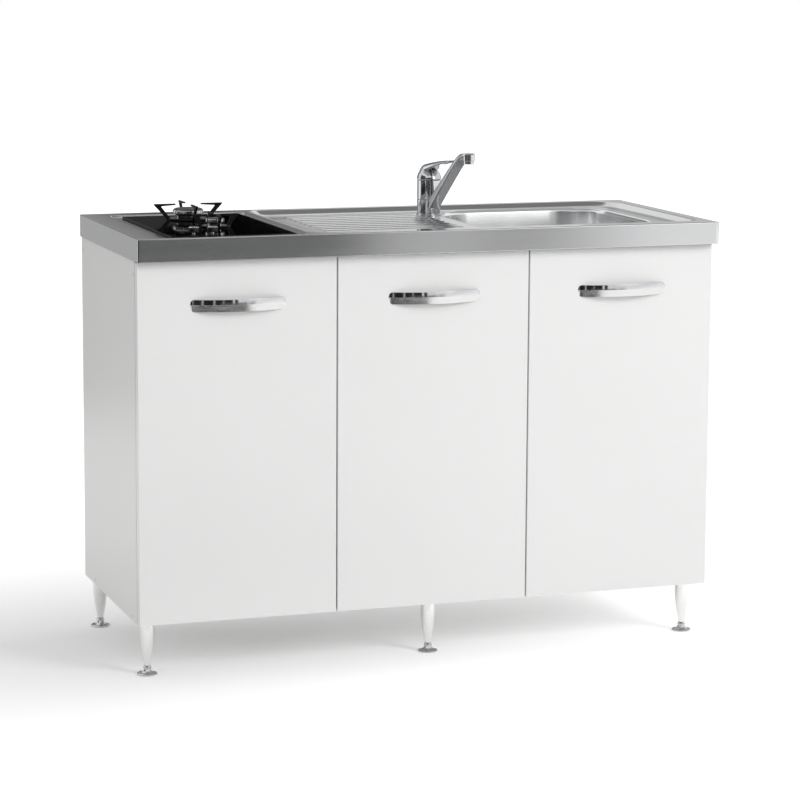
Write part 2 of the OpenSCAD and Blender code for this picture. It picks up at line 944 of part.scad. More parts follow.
module pan_support_large() {
    at_large() pan_support(cap_r_large, cap_r_large + arm_out_large, support_h_large, cap_r_large - 5);
}

module pan_support_small() {
    at_small() pan_support(cap_r_small, cap_r_small + arm_out_small, support_h_small, cap_r_small - 3);
}

module gas_taps() {
    color("goldenrod")
        for (x = knob_x)
            difference() {
                union() {
                    box(x - 9, x + 9, knob_y - 10, knob_y + 10, valve_z, valve_top);
                    bar_y(x, knob_y + 9, knob_y + valve_reach, burner_pipe_z, burner_pipe_r + 2);
                }
                bar_x(x - 20, x + 20, knob_y, valve_z, manifold_r);
                translate([x, knob_y, valve_z + manifold_r + 2])
                    cylinder(r = spindle_r + run_gap, h = 40);
                bar_y(x, knob_y + valve_reach - 4, knob_y + valve_reach + cut, burner_pipe_z, burner_pipe_r);
            }
}

module gas_pipes() {
    color("silver") {
        // manifold, supply pipe and threaded inlet
        bar_x(supply_x, knob_x[1] + 14, knob_y, valve_z, manifold_r);
        bar_y(supply_x, knob_y, supply_y, valve_z, supply_r);
        translate([supply_x, knob_y, valve_z])
            sphere(r = manifold_r);
        translate([supply_x, supply_y, valve_z])
            sphere(r = supply_r);
        translate([supply_x, supply_y, gas_inlet_z + gas_thread_l - cut])
            cylinder(r = supply_r, h = valve_z - gas_inlet_z - gas_thread_l + cut);
        translate([supply_x, supply_y, gas_inlet_z + gas_thread_l])
            cylinder(r = 13, h = 7, $fn = 6);
        translate([supply_x, supply_y, gas_inlet_z])
            cylinder(r = gas_thread_r, h = gas_thread_l);
        // pipe to each burner
        burner_pipe(knob_x[0], large_x - cap_r_large + 3, large_y);
        burner_pipe(knob_x[1], small_x - cap_r_small + 3, small_y);
    }
}

module burner_pipe(x, x_end, y_end) {
    bar_y(x, knob_y + valve_reach - 4, y_end, burner_pipe_z, burner_pipe_r);
    translate([x, y_end, burner_pipe_z])
        sphere(r = burner_pipe_r);
    bar_x(x, x_end, y_end, burner_pipe_z, burner_pipe_r);
}

module spindle(x) {
    color("silver")
        translate([x, knob_y, spindle_foot])
            cylinder(r = spindle_r, h = glass_z + 9 - spindle_foot);
}

module spindle_left() { spindle(knob_x[0]); }
module spindle_right() { spindle(knob_x[1]); }

module knob(x) {
    high = 10.5;
    r = knob_d / 2;
    color("silver")
        translate([x, knob_y, glass_z + knob_push + fit_gap])
            difference() {
                rotate_extrude($fn = 72)
                    polygon([[0, 0], [r - 0.5, 0], [r, 0.5], [r - 0.4, high - 1.2],
                             [r - 1.6, high], [0, high]]);
                translate([0, 0, -cut])
                    cylinder(r = spindle_r + run_gap, h = high - 1.3 + cut);
                translate([-0.6, 2.5, high - 0.5])
                    cube([1.2, r - 4.5, 2]);
            }
}

module knob_left() { knob(knob_x[0]); }
module knob_right() { knob(knob_x[1]); }

// ---- Tap ----
module at_tap() {
    translate([tap_x, tap_y, deck_z])
        children();
}

module tap_body() {
    upper_z = ring_z + ring_h + fit_gap;
    color("silver")
        at_tap()
            difference() {
                union() {
                    cylinder(r = tap_flange_r, h = 2);
                    cylinder(r = tap_r, h = ring_z);
                    cylinder(r = core_r, h = tap_h - 4);
                    translate([0, 0, upper_z])
                        cylinder(r = tap_r, h = tap_h - upper_z);
                    translate([0, 0, -shank_l])
                        cylinder(r = shank_r, h = shank_l + cut);
                }
                translate([0, 0, ring_z + ring_h - 4])
                    cylinder(r = cartridge_r, h = 60);
                for (sx = [-1, 1])
                    translate([sx * inlet_off, 0, -shank_l - cut])
                        cylinder(r = inlet_r, h = inlet_l + cut);
            }
}

module tap_cartridge() {
    z0 = ring_z + ring_h - 4;
    color("gainsboro")
        at_tap()
            difference() {
                union() {
                    translate([0, 0, z0])
                        cylinder(r = cartridge_r - 0.1, h = tap_h - z0 - 8);
                    translate([0, 0, tap_h - 10])
                        cylinder(r = cartridge_r - 3, h = 4);
                }
                translate([0, 0, tap_h - 22])
                    cylinder(r = 5 + run_gap, h = 30);
            }
}

module tap_fixing() {
    washer = 3;
    color("goldenrod")
        at_tap() {
            ring(shank_r + 8, shank_r + 0.1, -sheet * 2 - washer, -sheet * 2);
            ring(shank_r + 7, shank_r + 0.1, -sheet * 2 - washer - 9, -sheet * 2 - washer);
        }
}

module tap_stem() {
    color("silver")
        at_tap() rotate(lever_turn) {
            translate([0, 0, tap_h - 21])
                cylinder(r = 5, h = pivot_z + 4 - tap_h + 21);
            bar_x(-core_r + 3, core_r - 3, 0, pivot_z, tilt_pin_r);
        }
}

module tap_lever() {
    cheek = 3;
    cheek_x = core_r - 8;
    color("silver")
        at_tap() rotate(lever_turn) {
            difference() {
                translate([0, 0, pivot_z])
                    sphere(r = dome_r, $fn = 96);
                translate([0, 0, pivot_z])
                    sphere(r = dome_r - dome_wall, $fn = 96);
                // the rim is level in front and cut back behind, so that it clears the body when lifted
                box(-2 * dome_r, 2 * dome_r, -2 * dome_r, 2 * dome_r, pivot_z - 3 * dome_r, pivot_z - 1.2);
                translate([0, 0, pivot_z])
                    rotate([lever_lift, 0, 0])
                        box(-2 * dome_r, 2 * dome_r, -2 * dome_r, 2 * dome_r, -3 * dome_r, -1.2);
            }
            // cheeks that ride on the tilt pin
            difference() {
                for (s = [0, 1])
                    mirror([s, 0, 0])
                        intersection() {
                            box(cheek_x, cheek_x + cheek, -2 * tilt_pin_r, 2 * tilt_pin_r,
                                pivot_z - 2 * tilt_pin_r, pivot_z + dome_r);
                            translate([0, 0, pivot_z])
                                sphere(r = dome_r - dome_wall / 2, $fn = 96);
                        }
                bar_x(-2 * dome_r, 2 * dome_r, 0, pivot_z, tilt_pin_r + run_gap);
            }
            // hood that runs out of the dome into the paddle
            hull() {
                lever_section(4, 24, 34, 12);
                lever_section(lever_l * 0.42, 35.5, 24, 7.5);
                lever_section(lever_l, 45, 16, 4);
            }
        }
}

module lever_section(along, up, wide, high) {
    translate([0, -along, pivot_z + up])
        rotate([90, 0, 0])
            linear_extrude(1)
                round_rect(wide, high, high * 0.45, $fn = 20);
}

module tap_spout() {
    nozzle_r = 12;
    nozzle_h = 22;
    arm_rise = outlet_h + nozzle_h - 8;
    color("silver")
        at_tap() rotate(spout_turn)
            difference() {
                union() {
                    translate([0, 0, ring_z + fit_gap])
                        cylinder(r = tap_r, h = ring_h - fit_gap);
                    hull() {
                        spout_section(-tap_r + 6, ring_z + 14, 24);
                        spout_section(-spout_reach + 30, arm_rise - 4, 12);
                    }
                    hull() {
                        spout_section(-spout_reach + 30, arm_rise - 4, 12);
                        spout_section(-spout_reach + 4, arm_rise + 4, 10);
                    }
                    translate([0, -spout_reach, outlet_h])
                        cylinder(r = nozzle_r, h = nozzle_h);
                }
                translate([0, 0, ring_z - cut])
                    cylinder(r = core_r + run_gap, h = ring_h + 2 * cut);
                translate([0, 0, ring_z + ring_h])
                    cylinder(r = tap_r + fit_gap, h = tap_h);
                translate([0, -spout_reach, outlet_h - cut])
                    cylinder(r = nozzle_r - 2, h = 8);
            }
}

module spout_section(y, z, high) {
    translate([0, y, z])
        rotate([90, 0, 0])
            linear_extrude(1)
                round_rect(spout_w, high, 4, $fn = 20);
}

// ---- Doors, handles and hinges ----
module door(x0) {
    color("white")
        difference() {
            translate([x0 + door_w / 2, (door_front + door_back) / 2, door_foot_z])
                linear_extrude(door_h)
                    round_rect(door_w, door_t, edge_r, $fn = 24);
            for (s = [-1, 1])
                bar_y(x0 + door_w / 2 + s * handle_boss_x, door_front - cut, door_back + cut,
                      handle_z, handle_screw_r + 0.2);
            children();
        }
}

module cup_hole(x) {
    for (z = hinge_z)
        bar_y(x, door_back - cup_deep, door_back + cut, z, cup_r);
}

module door_left() {
    door(door_left_x) cup_hole(door_left_x + cup_in);
}

module door_middle() {
    door(door_middle_x) cup_hole(door_middle_x + cup_in);
}

module door_right() {
    door(door_right_x) cup_hole(door_right_x + door_w - cup_in);
}

// Bow handle: strap with two facets, bosses and the two fixing screws
module handle(x0) {
    mid = x0 + door_w / 2;
    half = handle_h / 2;
    color("silver") {
        difference() {
            union() {
                intersection() {
                    translate([mid, door_front - handle_out + bow_r, handle_z])
                        rotate_extrude($fn = 180)
                            polygon([[bow_r - handle_t, -half], [bow_r - 2.5, -half],
                                     [bow_r, 2], [bow_r - 0.6, half], [bow_r - handle_t, half]]);
                    box(mid - handle_l / 2, mid + handle_l / 2, door_front - handle_out - cut, door_front,
                        handle_z - half, handle_z + half);
                }
                for (s = [-1, 1])
                    bar_y(mid + s * handle_boss_x, door_front - 5, door_front, handle_z, 6);
            }
            for (s = [-1, 1])
                bar_y(mid + s * handle_boss_x, door_front - 4.7, door_front + cut, handle_z, handle_screw_r + 0.1);
        }
        for (s = [-1, 1]) {
            bar_y(mid + s * handle_boss_x, door_front - 4.5, door_back + 0.5, handle_z, handle_screw_r);
            bar_y(mid + s * handle_boss_x, door_back, door_back + door_gap - 0.5, handle_z, 4);
        }
    }
}

module handle_left() { handle(door_left_x); }
module handle_middle() { handle(door_middle_x); }
module handle_right() { handle(door_right_x); }

// Hinge cup with wings, and its pin; turn is 1 for a left-hung door and -1 for a right-hung one
module hinge_cup(pivot, turn) {
    wall = 0.6;
    x = pivot + turn * (cup_in - pivot_in);
    pin_half = sqrt(pow(cup_r, 2) - pow(cup_in - pivot_in + hinge_pin_r, 2)) - 0.2;
    color("silver")
        for (z = hinge_z) {
            difference() {
                union() {
                    bar_y(x, door_back - cup_deep, door_back + 0.8, z, cup_r);
                    bar_y(x, door_back, door_back + 0.8, z, cup_r + 1);
                    box(x + (turn > 0 ? 0 : -12), x + (turn > 0 ? 12 : 0), door_back, door_back + 0.8,
                        z - 30, z + 30);
                }
                bar_y(x, door_back - cup_deep + wall, door_back + cut, z, cup_r - wall);
                translate([pivot, pivot_y, z - 20])
                    cylinder(r = hinge_pin_r + 0.03, h = 40, $fn = 24);
            }
            translate([pivot, pivot_y, z - pin_half])
                cylinder(r = hinge_pin_r, h = 2 * pin_half, $fn = 24);
        }
}

module hinge_cups_left() { hinge_cup(left_pivot, 1); }
module hinge_cups_middle() { hinge_cup(middle_pivot, 1); }
module hinge_cups_right() { hinge_cup(-left_pivot, -1); }

// Arm from the pin in the cup back to the plate on the cabinet
module hinge_arm(pivot, turn) {
    half = arm_h / 2;
    for (z = hinge_z)
        translate([pivot, 0, z])
            mirror([turn > 0 ? 0 : 1, 0, 0])
                difference() {
                    union() {
                        translate([0, pivot_y, -half])
                            cylinder(r = eye_r, h = arm_h, $fn = 24);
                        box(0, arm_reach, pivot_y - arm_t / 2, pivot_y + arm_t / 2, -half, half);
                        box(arm_reach - arm_t, arm_reach, pivot_y - arm_t / 2, cab_front + 12, -half, half);
                        box(arm_reach - arm_t - arm_body_t, arm_reach, cab_front + 10, cab_front + 68,
                            -half - 2, half + 2);
                    }
                    translate([0, pivot_y, -half - cut])
                        cylinder(r = hinge_pin_r + hinge_play, h = arm_h + 2 * cut, $fn = 24);
                }
}

module hinge_arms() {
    color("silver") {
        hinge_arm(left_pivot, 1);
        hinge_arm(middle_pivot, 1);
        hinge_arm(-left_pivot, -1);
    }
}

module hinge_plate(face, pivot, turn) {
    inner = pivot + turn * (arm_reach - arm_t - arm_body_t);
    for (z = hinge_z) {
        box(min(face, inner), max(face, inner), cab_front + 8, cab_front + 66, z - 7, z + 7);
        box(min(face, inner), max(face, inner), cab_front + 26, cab_front + 40, z - 24, z + 24);
    }
}

module hinge_plates() {
    color("silver") {
        hinge_plate(-inner_x, left_pivot, 1);
        hinge_plate(divider_right, middle_pivot, 1);
        hinge_plate(inner_x, -left_pivot, -1);
    }
}

side_panel_left();
side_panel_right();
divider_panel();
bottom_panel();
back_panel();
front_rails();
back_rails();
shelf();
shelf_pins();
panel_screws();
leg_bushes();
legs();
worktop();
worktop_edge();
sink_bowl();
waste_flange();
waste_seal();
waste_body();
trap_body();
trap_cup();
trap_nuts();
outlet_pipe();
hob_glass();
hob_tray();
burner_bodies();
burner_crowns();
burner_caps();
igniters();
gas_taps();
gas_pipes();
tap_body();
tap_cartridge();
tap_fixing();
hinge_arms();
hinge_plates();
basket_strainer();
pan_support_large();
pan_support_small();
spindle_left();
spindle_right();
knob_left();
knob_right();
tap_spout();
tap_stem();
tap_lever();
foot_front_left();
foot_front_middle();
foot_front_right();
foot_back_left();
foot_back_middle();
foot_back_right();
door_left();
door_middle();
door_right();
handle_left();
handle_middle();
handle_right();
hinge_cups_left();
hinge_cups_middle();
hinge_cups_right();
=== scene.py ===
import json
import math

import bmesh
import bpy
from mathutils import Matrix, Vector


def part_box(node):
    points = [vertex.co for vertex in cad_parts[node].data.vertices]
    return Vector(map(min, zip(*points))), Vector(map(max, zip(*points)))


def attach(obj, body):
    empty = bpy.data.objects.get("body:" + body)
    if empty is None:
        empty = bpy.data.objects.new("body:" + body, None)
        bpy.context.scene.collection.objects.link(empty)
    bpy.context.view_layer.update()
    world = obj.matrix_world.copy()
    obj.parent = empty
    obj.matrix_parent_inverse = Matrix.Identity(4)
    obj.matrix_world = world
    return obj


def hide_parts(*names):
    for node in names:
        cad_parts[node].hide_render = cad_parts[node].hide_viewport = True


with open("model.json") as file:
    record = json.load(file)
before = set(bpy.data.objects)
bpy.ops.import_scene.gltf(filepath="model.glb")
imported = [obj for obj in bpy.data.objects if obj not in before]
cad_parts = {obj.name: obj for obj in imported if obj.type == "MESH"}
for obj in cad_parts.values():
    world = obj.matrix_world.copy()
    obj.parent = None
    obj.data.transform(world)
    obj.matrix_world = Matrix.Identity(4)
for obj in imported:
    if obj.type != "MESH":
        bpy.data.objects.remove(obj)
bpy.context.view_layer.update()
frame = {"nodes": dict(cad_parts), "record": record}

# -------------------------------- Studio
# A pale floor that runs on into a white world, one large soft lamp from the front right and a weak one from
# the left. The floor glows for the camera and in reflections, less round the unit, which paints a darker
# shadow there. Cards that the camera doesn't see give the metal something dark to reflect, and the brightest
# of them glow in place of the lamps, which the metal doesn't see.
scene = bpy.context.scene
scene.view_settings.view_transform = "Standard"

LENS_PX = 2760.6
FRAME_PX = 800
SENSOR_MM = 36
CAMERA_PLACE = (-1.819, -5.276, 1.417)
CAMERA_TURN = (19.096, 8.230, 0.317)
camera_data = bpy.data.cameras.new("camera")
camera_data.sensor_width = SENSOR_MM
camera_data.lens = LENS_PX * SENSOR_MM / FRAME_PX
camera_data.shift_y = -0.075
camera_data.clip_end = 200
camera = bpy.data.objects.new("camera", camera_data)
scene.collection.objects.link(camera)
scene.camera = camera

yaw, pitch, roll = (math.radians(a) for a in CAMERA_TURN)
look = Vector((math.sin(yaw) * math.cos(pitch), math.cos(yaw) * math.cos(pitch), -math.sin(pitch)))
level = Vector((math.cos(yaw), -math.sin(yaw), 0))
upward = level.cross(look)
right = math.cos(roll) * level + math.sin(roll) * upward
top = math.cos(roll) * upward - math.sin(roll) * level
turn = Matrix((right, top, -look)).transposed().to_4x4()
camera.matrix_world = Matrix.Translation(CAMERA_PLACE) @ turn


def new_material(name):
    """An empty node material: (material, its node tree, its output node)."""
    material = bpy.data.materials.new(name)
    material.use_nodes = True
    tree = material.node_tree
    tree.nodes.clear()
    return material, tree, tree.nodes.new("ShaderNodeOutputMaterial")


def add_node(tree, kind, values=(), operation=None, clamp=False):
    """Adds a shader node. values are its inputs: a socket is linked, anything else is set."""
    node = tree.nodes.new("ShaderNode" + kind)
    if operation:
        node.operation = operation
    if clamp:
        node.use_clamp = True
    for name, value in dict(values).items():
        if isinstance(value, bpy.types.NodeSocket):
            tree.links.new(value, node.inputs[name])
        else:
            node.inputs[name].default_value = value
    return node


def ranged(tree, value, low, high, start=0.0, end=1.0):
    """value from start to end becomes low to high."""
    return add_node(tree, "MapRange", {"Value": value, "From Min": start, "From Max": end, "To Min": low,
                                       "To Max": high}).outputs["Result"]


def shown_rays(tree):
    """1 for the rays that look at the background: camera, glossy and transmitted ones."""
    path = add_node(tree, "LightPath").outputs
    seen = path["Is Camera Ray"]
    for kind in ("Is Glossy Ray", "Is Transmission Ray"):
        seen = add_node(tree, "Math", {0: seen, 1: path[kind]}, "MAXIMUM").outputs[0]
    return seen


def new_object(name, points, faces, *finishes):
    """A mesh object from points and faces, linked to the scene."""
    mesh = bpy.data.meshes.new(name)
    mesh.from_pydata(points, [], faces)
    for one in finishes:
        mesh.materials.append(one)
    made = bpy.data.objects.new(name, mesh)
    scene.collection.objects.link(made)
    return made


def upright(x0, x1, y, z0, z1):
    """Corners of a card that stands across the room."""
    return (x0, y, z0), (x1, y, z0), (x1, y, z1), (x0, y, z1)


def overhead(x0, x1, y0, y1, z):
    """Corners of a level card."""
    return (x0, y0, z), (x1, y0, z), (x1, y1, z), (x0, y1, z)


FLOOR_HALF = 30
FLOOR_COLOUR = (0.93, 0.93, 0.93, 1)
SHADOW_SHAPE = (0.7, 1.3, 1)
SHADOW_PLACE = (0.4, 0, 0)
SHADOW_GLOW, OPEN_GLOW = 0.18, 0.72
SHADOW_END, OPEN_START = 0.2, 1.5
# The floor's glow is lower round the unit and set off to its left: a painted shadow that deepens the lamps'
# own shadow on the floor.
floor_paint, tree, output = new_material("floor_paint")
place = add_node(tree, "TexCoord").outputs["Object"]
from_unit = add_node(tree, "VectorMath", {0: place, 1: SHADOW_SHAPE, 2: SHADOW_PLACE}, "MULTIPLY_ADD")
spread = add_node(tree, "VectorMath", {0: from_unit.outputs["Vector"]}, "LENGTH").outputs["Value"]
glow_reach = ranged(tree, spread, SHADOW_GLOW, OPEN_GLOW, SHADOW_END, OPEN_START)
glow_level = add_node(tree, "Math", {0: shown_rays(tree), 1: glow_reach}, "MULTIPLY").outputs[0]
floor_glow = add_node(tree, "Emission", {"Strength": glow_level})
floor_diffuse = add_node(tree, "BsdfDiffuse", {"Color": FLOOR_COLOUR})
floor_sum = add_node(tree, "AddShader", {0: floor_diffuse.outputs[0], 1: floor_glow.outputs[0]})
tree.links.new(floor_sum.outputs[0], output.inputs["Surface"])
floor = new_object("floor", overhead(-FLOOR_HALF, FLOOR_HALF, -FLOOR_HALF, FLOOR_HALF, 0), [(0, 1, 2, 3)],
                   floor_paint)

SKY_LEVEL = 0.55
world = bpy.data.worlds.new("studio")
scene.world = world
world.use_nodes = True
sky = world.node_tree
background = sky.nodes["Background"]
background.inputs["Color"].default_value = (1, 1, 1, 1)
sky.links.new(ranged(sky, shown_rays(sky), SKY_LEVEL, 1.0), background.inputs["Strength"])

LAMPS_AIM = Vector((0, 0, 0.5))
for lamp_name, place, size, power in (
    ("key_lamp", (3.6, -5.2, 3.6), 2.6, 185),
    ("fill_lamp", (-4.5, -3.0, 3.2), 2.5, 3),
):
    lamp_data = bpy.data.lights.new(lamp_name, "AREA")
    lamp_data.shape = "SQUARE"
    lamp_data.size = size
    lamp_data.energy = power
    lamp = bpy.data.objects.new(lamp_name, lamp_data)
    scene.collection.objects.link(lamp)
    lamp.location = place
    lamp.visible_glossy = False
    lamp.rotation_euler = (LAMPS_AIM - Vector(place)).to_track_quat("-Z", "Y").to_euler()

BACK_LOW = 0.9
BACK_HIGH = 1.32


def leaning(y, x0, x1, x2, x3):
    """Corners of a card behind the unit whose sides lean: x0 and x1 below, x2 and x3 above."""
    return (x0, y, BACK_LOW), (x1, y, BACK_LOW), (x2, y, BACK_HIGH), (x3, y, BACK_HIGH)


# The cards stand in front of the unit, behind it and over it. Only the shiny surfaces see them.
cards = []
for row, y, z0, z1, strips in (
    ("front_card", -4.2, 0.0, 0.72, (
        (-0.9, 1.14, 0.16), (1.14, 1.24, 0.46), (1.24, 1.6, 0.63), (1.6, 1.84, 0.49), (1.84, 1.97, 0.62),
        (1.97, 2.08, 0.8), (2.08, 2.2, 0.96), (2.2, 2.9, 1.12))),
    ("stripe_card", -4.6, 0.0, 2.3, (
        (-5.6, -3.9, 0.03), (-3.9, -3.7, 0.6), (-3.7, -2.6, 0.03), (-2.6, -2.45, 0.6), (-2.45, -1.5, 0.02),
        (-1.5, -1.38, 0.6), (-1.38, -0.7, 0.02), (-0.7, -0.62, 0.5), (-0.62, 0.1, 0.02),
        (0.26, 0.55, 0.04))),
    ("bowl_card", -5.2, 0.95, 3.4, (
        (1.1, 1.4, 0.4), (1.4, 1.7, 0.9), (1.7, 2.0, 1.5), (2.0, 4.6, 2.4))),
):
    cards += [("%s_%d" % (row, k), level, upright(x0, x1, y, z0, z1))
              for k, (x0, x1, level) in enumerate(strips)]
cards += [
    ("glass_card", 0.0, leaning(2.0, -0.42, -0.11, 0.967, 0.454)),
    ("glass_edge_card", 0.06, ((-0.42, 1.98, BACK_LOW), (0.09, 1.98, BACK_LOW), (0.09, 1.98, 1.056),
                               (-0.03, 1.98, 1.087))),
    ("left_strip_card", 0.34, leaning(1.96, -1.6, -0.42, 0.454, -1.6)),
    ("strip_card", 0.14, leaning(1.96, -0.12, -0.1, 1.086, 0.967)),
    ("deck_card", 0.76, leaning(2.0, -0.1, 1.25, 1.25, 1.086)),
    ("rim_card", 0.58, upright(1.25, 3.4, 2.0, BACK_LOW, BACK_HIGH)),
    ("low_card", 0.28, upright(-0.42, 3.4, 2.02, 0.3, BACK_LOW)),
    ("left_card", 0.1, ((-6.0, -4.6, 0.3), (-6.0, 2.0, 0.3), (-6.0, 2.0, 4.2), (-6.0, -4.6, 4.2))),
    ("tap_edge_card", 0.02, upright(-0.75, 0.0, 2.2, 0.1, 0.88)),
    ("side_card", 0.5, upright(-1.6, -0.75, 2.2, 0.1, 0.95)),
    ("behind_card", 0.25, upright(-1.4, 0.48, 2.2, BACK_HIGH, 2.2)),
    ("rib_card", 1.0, upright(0.48, 1.1, 2.2, BACK_HIGH, 2.0)),
    ("corner_card", 0.46, upright(1.1, 2.8, 2.2, BACK_HIGH, 2.2)),
    ("handle_card", 0.1, overhead(-1.4, 0.25, -1.8, -0.75, 0.02)),
    ("upper_card", 0.27, overhead(-0.8, 3.2, 0.9, 2.2, 3.0)),
    ("top_card", 0.42, overhead(-2.0, 4.0, -3.2, 0.9, 3.2)),
]
for card_name, level, corners in cards:
    card_paint, tree, output = new_material(card_name)
    card_glow = add_node(tree, "Emission", {"Color": (level, level, level, 1)})
    tree.links.new(card_glow.outputs[0], output.inputs["Surface"])
    card = new_object(card_name, corners, [(0, 1, 2, 3)], card_paint)
    card.visible_camera = False
    card.visible_diffuse = False
    card.visible_shadow = False

# -------------------------------- Cabinet boards
# Two sides, a divider, a bottom, rails and a shelf of chipboard faced with smooth white melamine. They are
# cut square, edged and screwed together, and the drilled solids of the frame are shown as they are.


def new_effect(name, inputs, outputs):
    """A node group with named sockets: (group, what it is given, what it puts out)."""
    group = bpy.data.node_groups.new(name, "ShaderNodeTree")
    for socket, value in inputs.items():
        kind = "NodeSocketVector" if isinstance(value, tuple) else "NodeSocketFloat"
        made = group.interface.new_socket(socket, in_out="INPUT", socket_type=kind)
        made.default_value = value
    for socket in outputs:
        group.interface.new_socket(socket, in_out="OUTPUT", socket_type="NodeSocketFloat")
    given = group.nodes.new("NodeGroupInput").outputs
    return group, given, group.nodes.new("NodeGroupOutput").inputs


def place_effect(tree, group, **values):
    """Puts a node group in a material with its own values: its outputs."""
    node = add_node(tree, "Group")
    node.node_tree = group
    for socket, value in values.items():
        node.inputs[socket].default_value = value
    return node.outputs


def blended(tree, share, first, second):
    """Colour mix: first where share is 0, second where it is 1. Each is a colour or a socket."""
    node = add_node(tree, "Mix")
    node.data_type = "RGBA"
    tree.links.new(share, node.inputs["Factor"])
    for socket, value in zip([s for s in node.inputs if s.type == "RGBA"], (first, second)):
        if isinstance(value, tuple):
            socket.default_value = (*value, 1)
        else:
            tree.links.new(value, socket)
    return [s for s in node.outputs if s.type == "RGBA"][0]


def grain_effect():
    """Fine noise that can be stretched along an axis. Grain is a value, Height is for a bump."""
    group, given, result = new_effect("grain", {"Size": 200.0, "Stretch": (1.0, 1.0, 1.0)},
                                      ("Grain", "Height"))
    place = add_node(group, "TexCoord").outputs["Object"]
    scaled = add_node(group, "VectorMath", {0: place, 1: given["Stretch"]}, "MULTIPLY").outputs[0]
    coarse = add_node(group, "TexNoise", {"Vector": scaled, "Scale": given["Size"], "Detail": 4,
                                          "Roughness": 0.6})
    finer = add_node(group, "Math", {0: given["Size"], 1: 2.7}, "MULTIPLY").outputs[0]
    fine = add_node(group, "TexNoise", {"Vector": scaled, "Scale": finer, "Detail": 2})
    group.links.new(coarse.outputs["Fac"], result["Grain"])
    group.links.new(fine.outputs["Fac"], result["Height"])
    return group


def clouds_effect():
    """Large soft patches, for handling marks and uneven gloss."""
    group, given, result = new_effect("clouds", {"Size": 4.0, "Contrast": 1.0}, ("Patch",))
    place = add_node(group, "TexCoord").outputs["Object"]
    noise = add_node(group, "TexNoise", {"Vector": place, "Scale": given["Size"], "Detail": 3})
    centred = add_node(group, "Math", {0: noise.outputs["Fac"], 1: 0.5}, "SUBTRACT").outputs[0]
    patch = add_node(group, "Math", {0: centred, 1: given["Contrast"], 2: 0.5}, "MULTIPLY_ADD")
    group.links.new(patch.outputs[0], result["Patch"])
    return group


def edge_effect():
    """1 on outer edges and corners, broken up by noise: finishes paint these edges lighter, a painted edge
    highlight.
    """
    group, given, result = new_effect("edges", {"Sharpness": 8.0, "Break Up": 120.0}, ("Edge",))
    bend = add_node(group, "NewGeometry").outputs["Pointiness"]
    above = add_node(group, "Math", {0: bend, 1: 0.52}, "SUBTRACT").outputs[0]
    edge_highlight = add_node(group, "Math", {0: above, 1: given["Sharpness"]}, "MULTIPLY", clamp=True)
    place = add_node(group, "TexCoord").outputs["Object"]
    noise = add_node(group, "TexNoise", {"Vector": place, "Scale": given["Break Up"]})
    broken = add_node(group, "Math", {0: edge_highlight.outputs[0], 1: noise.outputs["Fac"]}, "MULTIPLY", clamp=True)
    group.links.new(broken.outputs[0], result["Edge"])
    return group


grain = grain_effect()
clouds = clouds_effect()
edges = edge_effect()
BUMP_DEPTH = 0.0004
GRAIN_SHADE = 0.45


def new_finish(name, colour, roughness, metallic=0.0, shade=0.06, rough_spread=0.05, grain_size=300.0,
               stretch=(1.0, 1.0, 1.0), bump=0.02, edge_colour=None, gloss=0.5):
    """A finish: colour with soft patches and grain, uneven roughness, a fine bump and edges painted lighter
    as a highlight.
    """
    material, tree, output = new_material(name)
    patch = place_effect(tree, clouds, Size=5.0, Contrast=1.4)["Patch"]
    fine = place_effect(tree, grain, Size=grain_size, Stretch=stretch)
    body = blended(tree, patch, tuple(c * (1 - shade) for c in colour), colour)
    streaked = blended(tree, ranged(tree, fine["Grain"], 0, shade, 0.3, 0.7), body,
                       tuple(c * GRAIN_SHADE for c in colour))
    # Outer edges take the lighter edge colour: a painted highlight.
    if edge_colour:
        edge_highlight = place_effect(tree, edges, Sharpness=9.0)["Edge"]
        streaked = blended(tree, edge_highlight, streaked, edge_colour)
    uneven = ranged(tree, fine["Grain"], roughness - rough_spread, roughness + rough_spread, 0.25, 0.75)
    relief = add_node(tree, "Bump", {"Strength": bump, "Distance": BUMP_DEPTH, "Height": fine["Height"]})
    skin = add_node(tree, "BsdfPrincipled", {
        "Base Color": streaked, "Roughness": uneven, "Normal": relief.outputs["Normal"],
        "Metallic": metallic, "Specular IOR Level": gloss})
    tree.links.new(skin.outputs[0], output.inputs["Surface"])
    return material


def dress(finish, *nodes):
    """Gives solids of the frame their finish."""
    for node in nodes:
        for place in frame["nodes"][node].material_slots:
            place.material = finish


melamine = new_finish("white_melamine", (0.87, 0.87, 0.86), 0.34, shade=0.015, grain_size=650.0,
                      bump=0.05, rough_spread=0.03)
dress(melamine, "side_panel_left", "side_panel_right", "divider_panel", "bottom_panel", "front_rails",
      "back_rails", "shelf")

# -------------------------------- Back panel
# A thin sheet of hardboard, white inside and out, let in between the sides, with a cut-out behind the
# trap for the waste pipe and the hoses.
hardboard = new_finish("white_hardboard", (0.74, 0.73, 0.70), 0.55, shade=0.05, grain_size=320.0, bump=0.12)
dress(hardboard, "back_panel")

# -------------------------------- Screws, shelf pins and leg bushes
# Zinc-plated steel: eight screws through the sides, four pins under the shelf, and the threaded bushes in
# the bottom panel that take the legs.
zinc = new_finish("zinc_plate", (0.52, 0.53, 0.54), 0.32, metallic=1.0, shade=0.12, grain_size=420.0,
                  edge_colour=(0.75, 0.76, 0.77))
dress(zinc, "panel_screws", "shelf_pins", "leg_bushes")

# -------------------------------- Legs
# Six legs drawn from metal tube: straight under the cabinet and drawn in to a slim ankle, with a satin
# finish. Each has a threaded stud at the top.


def mm(*values):
    """Millimetres to metres: one number, or a tuple."""
    return values[0] / 1000 if len(values) == 1 else tuple(v / 1000 for v in values)


def in_mm(box):
    """A box of the frame as x0, x1, y0, y1, z0, z1 in millimetres."""
    return tuple(corner[k] * 1000 for k in range(3) for corner in box)


def middle(node):
    """The middle of a node's box in the plan, in metres."""
    low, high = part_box(node)
    return (low[0] + high[0]) / 2, (low[1] + high[1]) / 2


